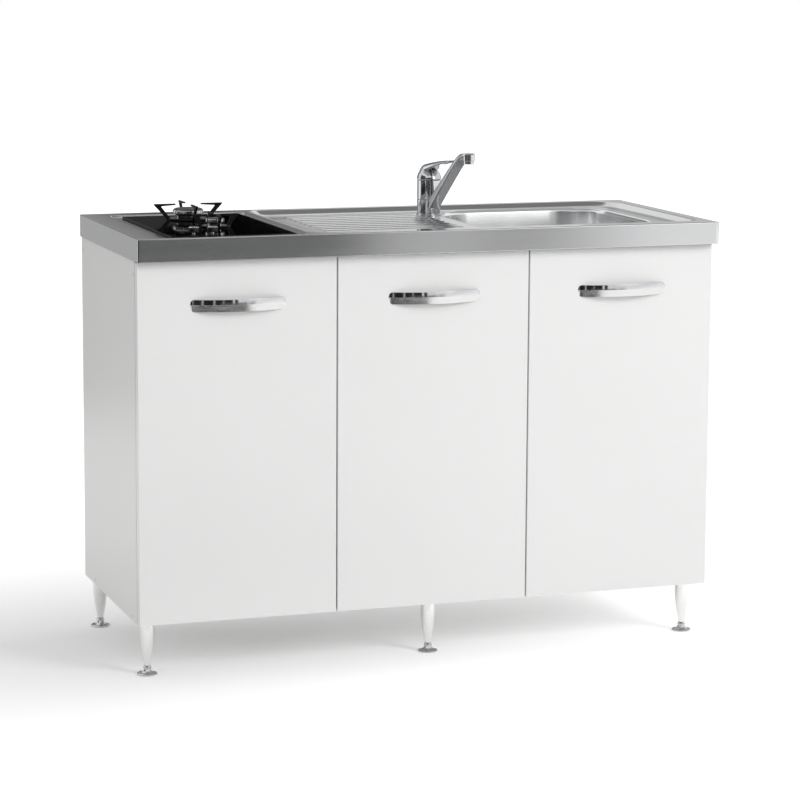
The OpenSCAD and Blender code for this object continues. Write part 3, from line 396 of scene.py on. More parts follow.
def finish_mesh(name, points, faces, finish, body, slot, stands_for=(), sharp=35, wall=0.0):
    """A piece from points in metres. Doubled points are joined, normals made to agree, soft shading set.
    A wall makes it a hollow skin of that thickness, inwards from its upper or outer side, with the last
    finish on its cut edges and the second of three on its hidden side. Flats keep their own normals."""
    piece = new_object(name, points, faces, *(finish if isinstance(finish, list) else [finish]))
    mesh = piece.data
    shape = bmesh.new()
    shape.from_mesh(mesh)
    bmesh.ops.remove_doubles(shape, verts=shape.verts, dist=2e-6)
    bmesh.ops.dissolve_degenerate(shape, dist=1e-7, edges=shape.edges)
    bmesh.ops.recalc_face_normals(shape, faces=shape.faces)
    bmesh.ops.delete(shape, geom=[v for v in shape.verts if not v.link_faces], context="VERTS")
    shape.to_mesh(mesh)
    shape.free()
    if wall and max(mesh.polygons, key=lambda face: face.center.z).normal.z < 0:
        mesh.flip_normals()
    mesh.shade_smooth()
    mesh.set_sharp_from_angle(angle=math.radians(sharp))
    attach(piece, body)
    if wall:
        thicken = piece.modifiers.new("wall", "SOLIDIFY")
        thicken.thickness = wall
        thicken.offset = -1
        thicken.material_offset = max(0, len(mesh.materials) - 2)
        thicken.material_offset_rim = len(mesh.materials) - 1
    even = piece.modifiers.new("even_shading", "WEIGHTED_NORMAL")
    even.keep_sharp = True
    if stands_for:
        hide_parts(*stands_for)
    return piece


def eased(corners, radius, steps=4, closed=False):
    """A run of 2-D points with each inner corner rounded by an arc of about that radius."""
    count = len(corners)
    run = []
    for k, corner in enumerate(corners):
        here = Vector(corner)
        before = Vector(corners[k - 1]) - here
        after = Vector(corners[(k + 1) % count]) - here
        at_end = not closed and k in (0, count - 1)
        if at_end or before.length < 1e-9 or after.length < 1e-9 or before.angle(after) > math.radians(176):
            run.append(tuple(corner))
            continue
        half = before.angle(after) / 2
        back = min(radius / math.tan(half), before.length * 0.49, after.length * 0.49)
        first = here + before.normalized() * back
        last = here + after.normalized() * back
        for s in range(steps + 1):
            t = s / steps
            run.append(tuple(first * (1 - t) ** 2 + here * 2 * t * (1 - t) + last * t ** 2))
    return run


def loft_faces(rows, count, closed=True, capped=False, start=0):
    """Quads between rows of count points each, the first of them number start, and flat ends if capped."""
    wrap = count if closed else count - 1
    faces = [(r * count + k, r * count + (k + 1) % count, (r + 1) * count + (k + 1) % count,
              (r + 1) * count + k) for r in range(rows - 1) for k in range(wrap)]
    if capped:
        faces += [tuple(range(count)), tuple(range((rows - 1) * count, rows * count))]
    return [tuple(start + i for i in face) for face in faces]


def turned_points(profile, centre, steps, axis="Z"):
    """Rings of a turned shape. profile is (radius, height along the axis) in millimetres."""
    points = []
    for radius, along in profile:
        for k in range(steps):
            a = 2 * math.pi * k / steps
            u, v = radius * math.cos(a), radius * math.sin(a)
            point = {"Z": (u, v, along), "Y": (u, along, v)}[axis]
            points.append(tuple(c + mm(t) for c, t in zip(centre, point)))
    return points


def turned(name, profile, centre, finish, body, slot, stands_for=(), steps=96, axis="Z"):
    """A turned piece. The profile runs from one end to the other."""
    return finish_mesh(name, turned_points(profile, centre, steps, axis), loft_faces(len(profile), steps),
                       finish, body, slot, stands_for)


BODY_OF = {node: body for body, members in frame["record"]["behaviour"]["bodies"].items()
           for node in members}
cabinet_foot = in_mm(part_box("bottom_panel"))[4]
foot_nodes = [n for n in frame["nodes"] if n.startswith("foot_")]
satin = new_finish("satin_metal", (0.82, 0.82, 0.81), 0.24, metallic=1.0, shade=0.04, grain_size=260.0,
                   stretch=(1.0, 1.0, 0.06), rough_spread=0.04)
LEG_R = 15
ANKLE_R = 6.75
ANKLE_Z = 18.3
DRAW_Z = 22
DRAW_H = 66
DRAW_STEPS = 14
LEG_STEPS = 56
leg = [(0, ANKLE_Z), (6.2, ANKLE_Z), (6.7, ANKLE_Z + 0.6), (ANKLE_R, DRAW_Z)]
for k in range(1, DRAW_STEPS + 1):
    t = k / DRAW_STEPS
    leg.append((ANKLE_R + (LEG_R - ANKLE_R) * math.sin(t * math.pi / 2), DRAW_Z + DRAW_H * t))
leg += [(LEG_R, cabinet_foot - 1.2), (LEG_R - 0.6, cabinet_foot - 0.2), (0, cabinet_foot - 0.1)]
leg_points, leg_faces = [], []
for foot in foot_nodes:
    leg_faces += loft_faces(len(leg), LEG_STEPS, start=len(leg_points))
    leg_points += turned_points(leg, (*middle(foot), 0), LEG_STEPS)
finish_mesh("leg_tubes", leg_points, leg_faces, satin, "cabinet", "leg_metal", ["legs"])

# -------------------------------- Levelling feet
# Polished disc feet with a short neck, screwed up into the legs so that each can be turned out to level
# the unit.
polished = new_finish("polished_steel", (0.64, 0.65, 0.66), 0.07, metallic=1.0, shade=0.05,
                      rough_spread=0.02, bump=0.005)
disc = eased([(0, 0), (19.4, 0), (20, 1.6), (20, 2.8), (17.8, 4.2), (13, 5.0), (9.2, 7.4), (7.2, 11.2),
              (7.2, 12.2), (8.4, 12.8), (8.4, 14.8), (7.0, 15.8), (6.7, 18.0), (0, 18.0)], 1.0)
for foot in foot_nodes:
    turned(foot + "_disc", disc, (*middle(foot), 0), polished, BODY_OF[foot], "bright_steel", [foot],
           steps=64)

# -------------------------------- Worktop
# One sheet of stainless steel, pressed with a shallow hob recess, a sloping sink recess and drainer ribs,
# then folded down into aprons. The corners are butted and welded behind, which leaves a fine seam.
steel = new_finish("worktop_steel", (0.60, 0.605, 0.61), 0.12, metallic=1.0, shade=0.015, grain_size=70.0,
                   stretch=(0.08, 3.0, 3.0), rough_spread=0.015, bump=0.002)
# The cut edges of the sheets and the weld beads are painted near black: painted shade that darkens the
# seams.
painted_seam_shade = new_finish("painted_seam_shade", (0.07, 0.07, 0.07), 0.5, metallic=1.0, grain_size=200.0)
_, HALF_W, _, HALF_D, _, TOP_Z = in_mm(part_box("worktop"))
APRON_Z = in_mm(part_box("worktop_edge"))[4]
BEND = 2.0
SHEET = 1.0
HEM = 12.0
BACK_FOLD = 20.0
SEAM = 1.5
*glass, GLASS_UNDER, GLASS_Z = in_mm(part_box("hob_glass"))
*hole, bowl_z, bowl_top = in_mm(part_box("sink_bowl"))
DECK_Z = bowl_top + SHEET
BOWL_WELD = 8.0
BOWL_R = 100.0
HOLE_RADII = (BOWL_R + BOWL_WELD,) * 4
bowl_x = (hole[0] + hole[1]) / 2
bowl_y = (hole[2] + hole[3]) / 2
bowl_half_w = (hole[1] - hole[0]) / 2 - BOWL_WELD
bowl_half_d = (hole[3] - hole[2]) / 2 - BOWL_WELD


def shrunk(box, by):
    """A rectangle x0, x1, y0, y1 made smaller on all sides."""
    return box[0] + by, box[1] - by, box[2] + by, box[3] - by


SLOPE = 20.0
DISH_FROM_GLASS = 34
DISH_RIGHT = 25
DISH_FRONT = 36
DISH_BACK = 12
dish_outer = (glass[1] + DISH_FROM_GLASS, HALF_W - DISH_RIGHT, DISH_FRONT - HALF_D, HALF_D - DISH_BACK)
dish_inner = shrunk(dish_outer, SLOPE)
DISH = (dish_outer, dish_inner, (24, 24, 24, 60), (16, 16, 16, 50), SLOPE, 0.16)
HOB_RUN = 4.0
HOB_SIDES = 20
HOB_FRONT = 5
HOB_BACK = 30
hob_outer = (glass[0] - HOB_SIDES, glass[1] + HOB_SIDES, glass[2] - HOB_FRONT, glass[3] + HOB_BACK)
hob_inner = shrunk(hob_outer, HOB_RUN)
HOB = (hob_outer, hob_inner, (10,) * 4, (7,) * 4, HOB_RUN, 0.3)

RIB_PITCH = 34.0
RIB_W = 14.0
RIB_H = 2.2
RIB_FADE = 5.0
RIB_LEFT = 40
RIB_TO_BOWL = 38
RIB_FRONT = 16
RIB_BACK = 50
rib_left = dish_inner[0] + RIB_LEFT
rib_right = hole[0] + BOWL_WELD - RIB_TO_BOWL
rib_first = dish_inner[2] + RIB_FRONT
rib_last = dish_inner[3] - RIB_BACK
rib_count = int((rib_last - rib_first) / RIB_PITCH) + 1
tap_x, tap_y = middle("tap_body")
tap_low, tap_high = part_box("tap_body")
rib_clear = (tap_high[0] - tap_low[0]) * 500 + 1


def outside(x, y, box, radii):
    """Distance outside a rectangle with rounded corners, negative inside it.
    radii are front-left, front-right, back-left and back-right."""
    x0, x1, y0, y1 = box
    radius = radii[(1 if x > (x0 + x1) / 2 else 0) + (2 if y > (y0 + y1) / 2 else 0)]
    dx = abs(x - (x0 + x1) / 2) - (x1 - x0) / 2 + radius
    dy = abs(y - (y0 + y1) / 2) - (y1 - y0) / 2 + radius
    return math.hypot(max(dx, 0), max(dy, 0)) + min(max(dx, dy), 0) - radius


def pressed(x, y, outer, inner, outer_radii, inner_radii, run, soft):
    """How far a point is down a pressed wall: 0 on the rim, 1 on the floor, eased at both bends."""
    into = -outside(x, y, outer, outer_radii)
    short = outside(x, y, inner, inner_radii)
    if into < 0:
        s = into / run
    elif short < 0:
        s = 1 - short / run
    else:
        s = into / max(into + short, 1e-9)
    if s < soft:
        return max(s + soft, 0) ** 2 / (4 * soft)
    if s > 1 - soft:
        return 1 - max(1 + soft - s, 0) ** 2 / (4 * soft)
    return s


def top_height(x, y):
    """Height of the pressed sheet at a place in the plan."""
    z = TOP_Z - (TOP_Z - DECK_Z) * pressed(x, y, *DISH) - (TOP_Z - GLASS_UNDER) * pressed(x, y, *HOB)
    if rib_left < x < rib_right:
        k = min(max(round((y - rib_first) / RIB_PITCH), 0), rib_count - 1)
        along = min(max(x, rib_left + RIB_W / 2), rib_right - RIB_W / 2)
        across = math.hypot(x - along, y - rib_first - k * RIB_PITCH)
        from_tap = math.hypot(x - tap_x * 1000, y - tap_y * 1000) - rib_clear
        if across < RIB_W / 2 and from_tap > 0:
            z += RIB_H * math.cos(across / RIB_W * math.pi) ** 1.3 * min(from_tap / RIB_FADE, 1)
    return z


def ruled(*stops):
    """Grid lines from stop to stop; each stop is (place, spacing up to the next)."""
    lines = []
    for (here, step), (there, _) in zip(stops, stops[1:]):
        count = max(1, round((there - here) / step))
        lines += [here + (there - here) * k / count for k in range(count)]
    return lines + [stops[-1][0]]


# The grid is fine where the sheet bends and coarse where it is flat
HOB_LAP = 14.0
cut = shrunk(glass, HOB_LAP)
edge_x = HALF_W - BEND
edge_y = HALF_D - BEND
lines_x = ruled((-edge_x, 9), (hob_outer[0] - 3, 1.5), (hob_inner[0] + 3, 8), (cut[0], 30), (cut[1], 8),
                (hob_inner[1] - 3, 1.5), (dish_outer[0] - 5, 1.5), (dish_inner[0] + 5, 9),
                (rib_left - 2, 1.4), (rib_left + 10, 11), (tap_x * 1000 - 34, 1.4), (rib_right + 2, 5),
                (dish_inner[1] - 60, 3), (dish_inner[1] - 5, 1.6), (dish_outer[1] + 5, 5), (edge_x, 5))
lines_y = ruled((-edge_y, 2), (hob_outer[2] - 2, 1.2), (hob_inner[2] + 2, 1.2), (cut[2], 1.6),
                (dish_inner[2] + 3, 1.75), (rib_last + 10, 2.6), (dish_inner[3] - 30, 2), (edge_y, 2))


def from_hole(x, y):
    """Distance outside the hole for the bowl."""
    return outside(x, y, hole, HOLE_RADII)


count_x = len(lines_x)
top_faces = []
uses = {}
for j, (y0, y1) in enumerate(zip(lines_y, lines_y[1:])):
    for i, (x0, x1) in enumerate(zip(lines_x, lines_x[1:])):
        x, y = (x0 + x1) / 2, (y0 + y1) / 2
        if from_hole(x, y) >= 0 and outside(x, y, cut, (0,) * 4) >= 0:
            base = j * count_x + i
            top_faces.append((base, base + 1, base + 1 + count_x, base + count_x))
            for k in top_faces[-1]:
                uses[k] = uses.get(k, 0) + 1

# Points beside the hole are moved onto its outline
HOLE_REACH = 8
STEP = 0.01
top_points = []
for j, y in enumerate(lines_y):
    for i, x in enumerate(lines_x):
        px, py = x, y
        near = from_hole(x, y)
        if abs(near) < HOLE_REACH and 0 < uses.get(j * count_x + i, 0) < 4:
            px -= near * (from_hole(x + STEP, y) - from_hole(x - STEP, y)) / (2 * STEP)
            py -= near * (from_hole(x, y + STEP) - from_hole(x, y - STEP)) / (2 * STEP)
        top_points.append(mm(px, py, top_height(px, py)))

# The aprons: (how far out from the start of the bend, height), down to the hem or the end of the fold
BEND_STEPS = 6
bend_run = [(BEND * math.sin(a), TOP_Z - BEND * (1 - math.cos(a)))
            for a in (math.pi / 2 * k / BEND_STEPS for k in range(BEND_STEPS + 1))]
hem_run = [(BEND, APRON_Z + 0.9), (BEND - 0.3, APRON_Z + 0.2), (BEND - 0.9, APRON_Z), (BEND - HEM, APRON_Z)]
side_run = [(BEND, APRON_Z)]
fold_run = [(BEND, TOP_Z - BACK_FOLD)]
for side, run in (("front", hem_run), ("left", side_run), ("right", side_run), ("back", fold_run)):
    profile = bend_run + run
    lengthwise = side in ("front", "back")
    places = lines_x if lengthwise else lines_y
    sign = -1 if side in ("front", "left") else 1
    reach = edge_y if lengthwise else edge_x
    top_faces += loft_faces(len(profile), len(places), closed=False, start=len(top_points))
    for k, (out, z) in enumerate(profile):
        past = out - (SEAM if k >= BEND_STEPS else 0)
        across = sign * (reach + out)
        for along in (places[0] - past, *places[1:-1], places[-1] + past):
            top_points.append(mm(along, across, z) if lengthwise else mm(across, along, z))
finish_mesh("pressed_worktop", top_points, top_faces, [steel, painted_seam_shade], "cabinet", "worktop_steel",
            ["worktop", "worktop_edge"], sharp=50, wall=mm(SHEET * 0.9))

# Weld beads behind the two front seams, painted near black so that the seam lines show dark: painted shadow
# in the seams
BEAD_IN = 2.1
bead_points, bead_faces = [], []
for side in (-1, 1):
    bead_faces += loft_faces(2, 4, capped=True, start=len(bead_points))
    bead_points += [mm(side * (HALF_W - BEAD_IN) + u, BEAD_IN - HALF_D + v, z)
                    for z in (APRON_Z + 1, TOP_Z - BEND - 0.5)
                    for u, v in ((-1, -1), (1, -1), (1, 1), (-1, 1))]
finish_mesh("seam_shade_welds", bead_points, bead_faces, painted_seam_shade, "cabinet", "worktop_steel", ["worktop_edge"])

# -------------------------------- Bowl
# A deep-drawn steel bowl welded flush under the deck. Its lip is rolled over a soft bend, the corners are
# large and the floor falls slightly to the waste.


def rounded_ring(half_w, half_d, radius, steps, side_steps=1):
    """Outline of a rectangle with rounded corners, from the end of its right side round the back."""
    arcs = []
    for k, (sx, sy) in enumerate(((1, 1), (-1, 1), (-1, -1), (1, -1))):
        angles = [math.radians(90 * (k + s / steps)) for s in range(steps + 1)]
        arcs.append([(sx * (half_w - radius) + radius * math.cos(a),
                      sy * (half_d - radius) + radius * math.sin(a)) for a in angles])
    ring = []
    for arc, after in zip(arcs, arcs[1:] + arcs[:1]):
        (x, y), (next_x, next_y) = arc[-1], after[0]
        ring += arc + [(x + (next_x - x) * k / side_steps, y + (next_y - y) * k / side_steps)
                       for k in range(1, side_steps)]
    return ring


CORNER_STEPS = 14
SIDE_STEPS = 8
CORNER_DRAW = 0.8
LIP_R = 8.0
LIP_STEPS = 8
WASTE_RIM = 57.0
FLANGE_SEAT = 55.2
FLANGE_HOLE = 46.0
bowl_floor = bowl_z + SHEET
lip = [(-LIP_R + LIP_R * math.sin(a), DECK_Z - LIP_R * (1 - math.cos(a)))
       for a in (math.pi / 2 * k / LIP_STEPS for k in range(LIP_STEPS + 1))]
wall = eased([(0, DECK_Z - LIP_R), (8, bowl_floor + 27), (15, bowl_floor + 9.4), (31, bowl_floor + 1.2),
              (60, bowl_floor + 0.7)], 18, steps=7)
bowl_points = []
for inset, z in lip + wall[1:]:
    corner = BOWL_R - inset * (CORNER_DRAW if inset > 0 else 1)
    last_ring = rounded_ring(bowl_half_w - inset, bowl_half_d - inset, corner, CORNER_STEPS, SIDE_STEPS)
    bowl_points += [mm(bowl_x + x, bowl_y + y, z) for x, y in last_ring]
for t, radius, z in ((0.35, WASTE_RIM, 0.5), (0.7, WASTE_RIM, 0.35), (1, WASTE_RIM, 0.2),
                     (1, FLANGE_SEAT, -0.4), (1, FLANGE_HOLE, -0.6), (1, FLANGE_HOLE, -0.9)):
    for x, y in last_ring:
        scale = 1 - t + t * radius / math.hypot(x, y)
        bowl_points.append(mm(bowl_x + x * scale, bowl_y + y * scale, bowl_floor + z))
bowl_steel = new_finish("bowl_steel", (0.84, 0.845, 0.85), 0.20, metallic=1.0, shade=0.02, grain_size=160.0,
                        rough_spread=0.02, bump=0.002)
# The underside is rougher than the inside and painted far darker: painted shade under the cabinet.
shaded_bowl_under = new_finish("shaded_bowl_under", (0.34, 0.345, 0.35), 0.45, metallic=1.0, grain_size=260.0)
finish_mesh("drawn_bowl", bowl_points, loft_faces(len(bowl_points) // len(last_ring), len(last_ring)),
            [bowl_steel, shaded_bowl_under, painted_seam_shade], "cabinet", "worktop_steel", ["sink_bowl"], sharp=50,
            wall=mm(SHEET * 0.9))

# -------------------------------- Waste, strainer and trap
# A polished flange and a lift-out basket in the bowl; under it a white moulded waste cup, a bottle trap
# with its nuts, and the outlet pipe to the wall, with a rubber seal under the bowl.
dress(polished, "waste_flange", "basket_strainer")
white_plastic = new_finish("white_plastic", (0.80, 0.80, 0.77), 0.42, shade=0.04, bump=0.06)
dress(white_plastic, "waste_body", "trap_body", "trap_cup", "trap_nuts", "outlet_pipe")
rubber = new_finish("black_rubber", (0.03, 0.03, 0.03), 0.6, shade=0.2, grain_size=500.0, bump=0.2)
dress(rubber, "waste_seal")

# -------------------------------- Hob tray and gas parts
# Under the glass: a thin coated tray, two brass gas taps on a plated manifold, and the plated pipes from
# them to the burners and down to the threaded inlet.
coated = new_finish("coated_sheet", (0.30, 0.31, 0.32), 0.4, metallic=0.6, shade=0.08, grain_size=260.0)
dress(coated, "hob_tray")
brass = new_finish("turned_brass", (0.68, 0.50, 0.24), 0.3, metallic=1.0, shade=0.12, grain_size=420.0,
                   edge_colour=(0.82, 0.66, 0.38))
dress(brass, "gas_taps")
dress(zinc, "gas_pipes")

# -------------------------------- Hob glass
# A plate of black toughened glass with ground edges and small corner radii, laid flush in the recess.
GLASS_CORNER = 3.5
GLASS_IOR = 1.12
glass_finish = new_finish("black_glass", (0.004, 0.004, 0.0045), 0.035, shade=0.1, grain_size=30.0,
                          bump=0.0, rough_spread=0.01)
glass_finish.node_tree.nodes["Principled BSDF"].inputs["IOR"].default_value = GLASS_IOR
x, y = (glass[0] + glass[1]) / 2, (glass[2] + glass[3]) / 2
edge = ((0.6, GLASS_UNDER), (0, GLASS_UNDER + 0.6), (0, GLASS_Z - 0.9), (0.25, GLASS_Z - 0.35),
        (0.9, GLASS_Z))
glass_points = []
for inset, z in edge:
    ring = rounded_ring(glass[1] - x - inset, glass[3] - y - inset, GLASS_CORNER - inset, 6)
    glass_points += [mm(x + u, y + v, z) for u, v in ring]
finish_mesh("glass_plate", glass_points, loft_faces(len(edge), len(ring), capped=True), glass_finish,
            "cabinet", "hob_black", ["hob_glass"])

# -------------------------------- Burners
# Two cast burners: a dish on the glass, a slotted crown, and a cap whose bright rim holds a domed lid of
# dark enamel. Two white electrodes stand under each cap.
cast_alloy = new_finish("cast_alloy", (0.17, 0.17, 0.165), 0.38, metallic=0.9, shade=0.14, grain_size=340.0,
                        bump=0.08, edge_colour=(0.5, 0.5, 0.49))
machined = new_finish("machined_alloy", (0.12, 0.12, 0.118), 0.36, metallic=1.0, shade=0.1,
                      grain_size=260.0)
enamel = new_finish("black_enamel", (0.008, 0.008, 0.009), 0.36, shade=0.15, grain_size=420.0, bump=0.05,
                    edge_colour=(0.03, 0.03, 0.031), gloss=0.1)
cap_enamel = new_finish("cap_enamel", (0.085, 0.085, 0.087), 0.5, shade=0.1, grain_size=420.0, bump=0.05,
                        gloss=0.3)
ceramic = new_finish("white_ceramic", (0.80, 0.79, 0.75), 0.25, shade=0.04)
dress(ceramic, "igniters")
SUPPORTS = {"large": "pan_support_large", "small": "pan_support_small"}
CAP_R = {"large": 31.0, "small": 18.5}
CROWN_H = {"large": 9.0, "small": 6.0}
CAP_H = {"large": 11.0, "small": 9.0}
LID_H = {"large": 3.6, "small": 2.0}
SLOTS = {"large": 32, "small": 20}
SLOT_STEPS = 6
SLOT_DEPTH = 2.6
BASE_H = 3.5
HUB_SHARE = 0.45
CROWN_IN = 6


def cut_rings(rows, steps, x, y, z, share):
    """Rings of a turned shape with cuts all round. rows are (radius, height, depth of the cuts), and
    share says how much of that depth each step has."""
    points = []
    for radius, height, depth in rows:
        for k in range(steps):
            a = 2 * math.pi * k / steps
            r = mm(radius - depth * share(k))
            points.append((x + r * math.cos(a), y + r * math.sin(a), mm(z + height)))
    return points


for size, node in SUPPORTS.items():
    x, y = middle(node)
    cap_r = CAP_R[size]
    hub_r = cap_r * HUB_SHARE
    crown_z = GLASS_Z + BASE_H
    dish = eased([(hub_r, GLASS_Z - 3), (hub_r, crown_z - 0.6), (cap_r - 4, crown_z - 0.6),
                  (cap_r + 1, crown_z), (cap_r + 5.2, crown_z - 0.2), (cap_r + 6.5, crown_z - 1.8),
                  (cap_r + 6.5, GLASS_Z), (cap_r, GLASS_Z - 2), (hub_r, GLASS_Z - 3)], 1.0)
    turned(size + "_burner_dish", dish, (x, y, 0), cast_alloy, "cabinet", "burner_alloy",
           ["burner_bodies"])
    crown_r = cap_r - CROWN_IN
    crown_h = CROWN_H[size]
    levels = ((hub_r, 0, 0), (crown_r - 1.5, 0, 0), (crown_r, 1.2, 0), (crown_r, crown_h - 3.2, 0),
              (crown_r, crown_h - 3, SLOT_DEPTH), (crown_r + 0.8, crown_h - 0.2, SLOT_DEPTH),
              (hub_r, crown_h - 0.2, 0))
    steps = SLOTS[size] * SLOT_STEPS
    crown_points = cut_rings(levels, steps, x, y, crown_z, lambda k: k % SLOT_STEPS in (0, 1))
    finish_mesh(size + "_burner_crown", crown_points, loft_faces(len(levels), steps), machined, "cabinet",
                "crown_alloy", ["burner_crowns"], sharp=30)
    cap_z = crown_z + crown_h
    cap_top = cap_z + CAP_H[size]
    rim_top = cap_top - LID_H[size]
    rim = eased([(cap_r - 4, cap_z), (cap_r - 1, cap_z), (cap_r, cap_z + 1), (cap_r, rim_top - 1.1),
                 (cap_r - 0.9, rim_top), (cap_r - 2.2, rim_top)], 0.7)
    turned(size + "_cap_rim", rim, (x, y, 0), polished, "cabinet", "bright_steel", ["burner_caps"])
    lid = eased([(0, cap_z + 0.3), (cap_r - 4, cap_z + 0.3), (cap_r - 1.7, rim_top - 0.3),
                 (cap_r - 2.2, rim_top + LID_H[size] * 0.45), (cap_r - 6, cap_top - 0.5), (0, cap_top)], 0.8)
    turned(size + "_cap_lid", lid, (x, y, 0), cap_enamel, "cabinet", "enamel_black", ["burner_caps"])

# -------------------------------- Pan supports
# Each is a ring of black enamelled steel that sits round the burner, with four flat arms that rise
# outwards and turn in over the cap. They lift off for cleaning.
RING_GAP = 7
RING_W = 5
ARM_COUNT = 4
ARM_SECTION = ((-2.0, 0.5), (-1.5, 0.0), (1.5, 0.0), (2.0, 0.5))
ARM_OVERLAP = {"large": 5, "small": 3}
for size, node in SUPPORTS.items():
    x, y = middle(node)
    x0, x1, _, _, z0, z1 = in_mm(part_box(node))
    ring_in = CAP_R[size] + RING_GAP
    ring_out = ring_in + RING_W
    tip_r = (x1 - x0) / 2
    height = z1 - z0
    bar_in = CAP_R[size] - ARM_OVERLAP[size]
    hoop = eased([(ring_in, 0), (ring_out, 0), (ring_out, 3.5), (ring_in, 3.5)], 1.4, closed=True)
    hoop.append(hoop[0])
    turned(size + "_support_ring", hoop, (x, y, mm(GLASS_Z)), enamel, BODY_OF[node], "enamel_black", [node])
    arm = [Vector(p) for p in eased(
        [(ring_in + 0.5, 0.8), (ring_out, 0.8), (tip_r, height - 1.4), (tip_r - 1, height),
         (bar_in, height), (bar_in, height - 2.6), (tip_r - 14, height - 4.5), (ring_in + 0.5, 5)],
        1.1, steps=3, closed=True)]
    centre = sum(arm, Vector((0, 0))) / len(arm)
    arm_points, arm_faces = [], []
    for k in range(ARM_COUNT):
        a = 2 * math.pi * k / ARM_COUNT
        out, across = Vector((math.cos(a), math.sin(a))), Vector((-math.sin(a), math.cos(a)))
        arm_faces += loft_faces(len(ARM_SECTION), len(arm), capped=True, start=len(arm_points))
        for offset, inset in ARM_SECTION:
            for p in arm:
                q = p - (p - centre).normalized() * inset
                flat = out * q.x + across * offset
                arm_points.append((x + mm(flat.x), y + mm(flat.y), mm(GLASS_Z + q.y)))
    finish_mesh(size + "_support_arms", arm_points, arm_faces, enamel, BODY_OF[node], "enamel_black", [node])

# -------------------------------- Control knobs
# Two small turned knobs on steel spindles that come up through the glass: a dark ribbed skirt under a
# bright cap with a milled pointer line.
knob_skirt = new_finish("knob_skirt", (0.04, 0.04, 0.04), 0.30, metallic=1.0, shade=0.12,
                        edge_colour=(0.15, 0.15, 0.15))
RIBS = 36
RIB_STEPS = 4
RIB_CUT = 0.35
SPINDLE_R = 3.06
for side in ("left", "right"):
    node = "knob_" + side
    x, y = middle(node)
    x0, x1, _, _, z0, z1 = in_mm(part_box(node))
    r = (x1 - x0) / 2
    steps = RIBS * RIB_STEPS
    rows = ((SPINDLE_R, 0, 0), (r - 0.7, 0, 0), (r - 0.1, 0.5, RIB_CUT), (r - 0.1, z1 - z0 - 3, RIB_CUT),
            (r - 0.5, z1 - z0 - 2.4, 0.1), (r - 0.9, z1 - z0 - 2.2, 0))
    points = cut_rings(rows, steps, x, y, z0, lambda k: 0.5 - 0.5 * math.cos(2 * math.pi * k / RIB_STEPS))
    finish_mesh(node + "_skirt", points, loft_faces(len(rows), steps), knob_skirt, BODY_OF[node],
                "knob_metal", [node], sharp=40)
    face = eased([(0, z1 - 1.2), (3.2, z1 - 1.2), (3.2, z1 - 2.0), (r - 0.9, z1 - 2.2), (r - 0.6, z1 - 1.4),
                  (r - 1.6, z1 - 0.1), (r - 3.2, z1), (0, z1 - 0.4)], 0.5)
    turned(node + "_cap", face, (x, y, 0), polished, BODY_OF[node], "knob_metal", [node], steps=72)
    mark = [(x + mm(u), y + mm(v), mm(z)) for z in (z1 - 0.5, z1)
            for u, v in ((-0.5, 3), (0.5, 3), (0.5, r - 2.2), (-0.5, r - 2.2))]
    finish_mesh(node + "_pointer", mark, loft_faces(2, 4, capped=True), enamel, BODY_OF[node],
                "knob_metal", [node])
    dress(zinc, "spindle_" + side)

# -------------------------------- Tap body
# A turned brass body under bright chrome plate, clamped through the deck by a nut from below. The middle
# band turns with the spout, so two fine seams show.
chrome = new_finish("tap_chrome", (0.58, 0.59, 0.60), 0.055, metallic=1.0, shade=0.02, grain_size=120.0,
                    rough_spread=0.02, bump=0.0)
x0, x1, _, _, shank_z, body_top = in_mm(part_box("tap_body"))
BODY_R = (x1 - x0) / 2 - 1.5
CORE_R = BODY_R - 5.5
SHANK_R = 16.5
BAND_LOW = DECK_Z + 5
BAND_HIGH = DECK_Z + 33
lower = eased([(SHANK_R, shank_z), (SHANK_R, DECK_Z), (BODY_R + 1.5, DECK_Z), (BODY_R + 1.5, DECK_Z + 1.3),
               (BODY_R + 0.6, DECK_Z + 2), (BODY_R, DECK_Z + 2.2), (BODY_R, BAND_LOW - 0.5),
               (BODY_R - 0.5, BAND_LOW), (CORE_R, BAND_LOW), (CORE_R, BAND_HIGH)], 0.5)
turned("tap_base", lower, (tap_x, tap_y, 0), chrome, "cabinet", "tap_chrome", ["tap_body"])
upper = eased([(CORE_R, BAND_HIGH + 0.3), (BODY_R - 0.5, BAND_HIGH + 0.3), (BODY_R, BAND_HIGH + 0.9),
               (BODY_R, body_top - 0.9), (BODY_R - 0.9, body_top), (CORE_R - 0.8, body_top),
               (CORE_R - 0.8, body_top - 8)], 0.6)
turned("tap_upper_body", upper, (tap_x, tap_y, 0), chrome, "cabinet", "tap_chrome", ["tap_body"])
grey_plastic = new_finish("grey_plastic", (0.38, 0.38, 0.40), 0.45, bump=0.06)
dress(grey_plastic, "tap_cartridge")
dress(brass, "tap_fixing")
dress(zinc, "tap_stem")

# -------------------------------- Tap spout
# A cast chrome arm that rises from the turning band, flat and wide, bends level at its end and carries a
# short nozzle with an aerator.
SPOUT_TURN = math.radians(6)
SPOUT_REACH = 186.0
OUTLET_H = 120.0
NOZZLE_H = 22.0
NOZZLE_R = 12.0
SPOUT_W = 26.0
CURVE_STEPS = 6
CORNER_CUTS = 5
band = eased([(CORE_R + 0.1, BAND_LOW + 0.3), (BODY_R - 0.5, BAND_LOW + 0.3), (BODY_R, BAND_LOW + 0.9),
              (BODY_R, BAND_HIGH - 0.6), (BODY_R - 0.5, BAND_HIGH), (CORE_R + 0.1, BAND_HIGH)], 0.4)
turned("spout_band", band, (tap_x, tap_y, 0), chrome, "spout", "tap_chrome", ["tap_spout"])


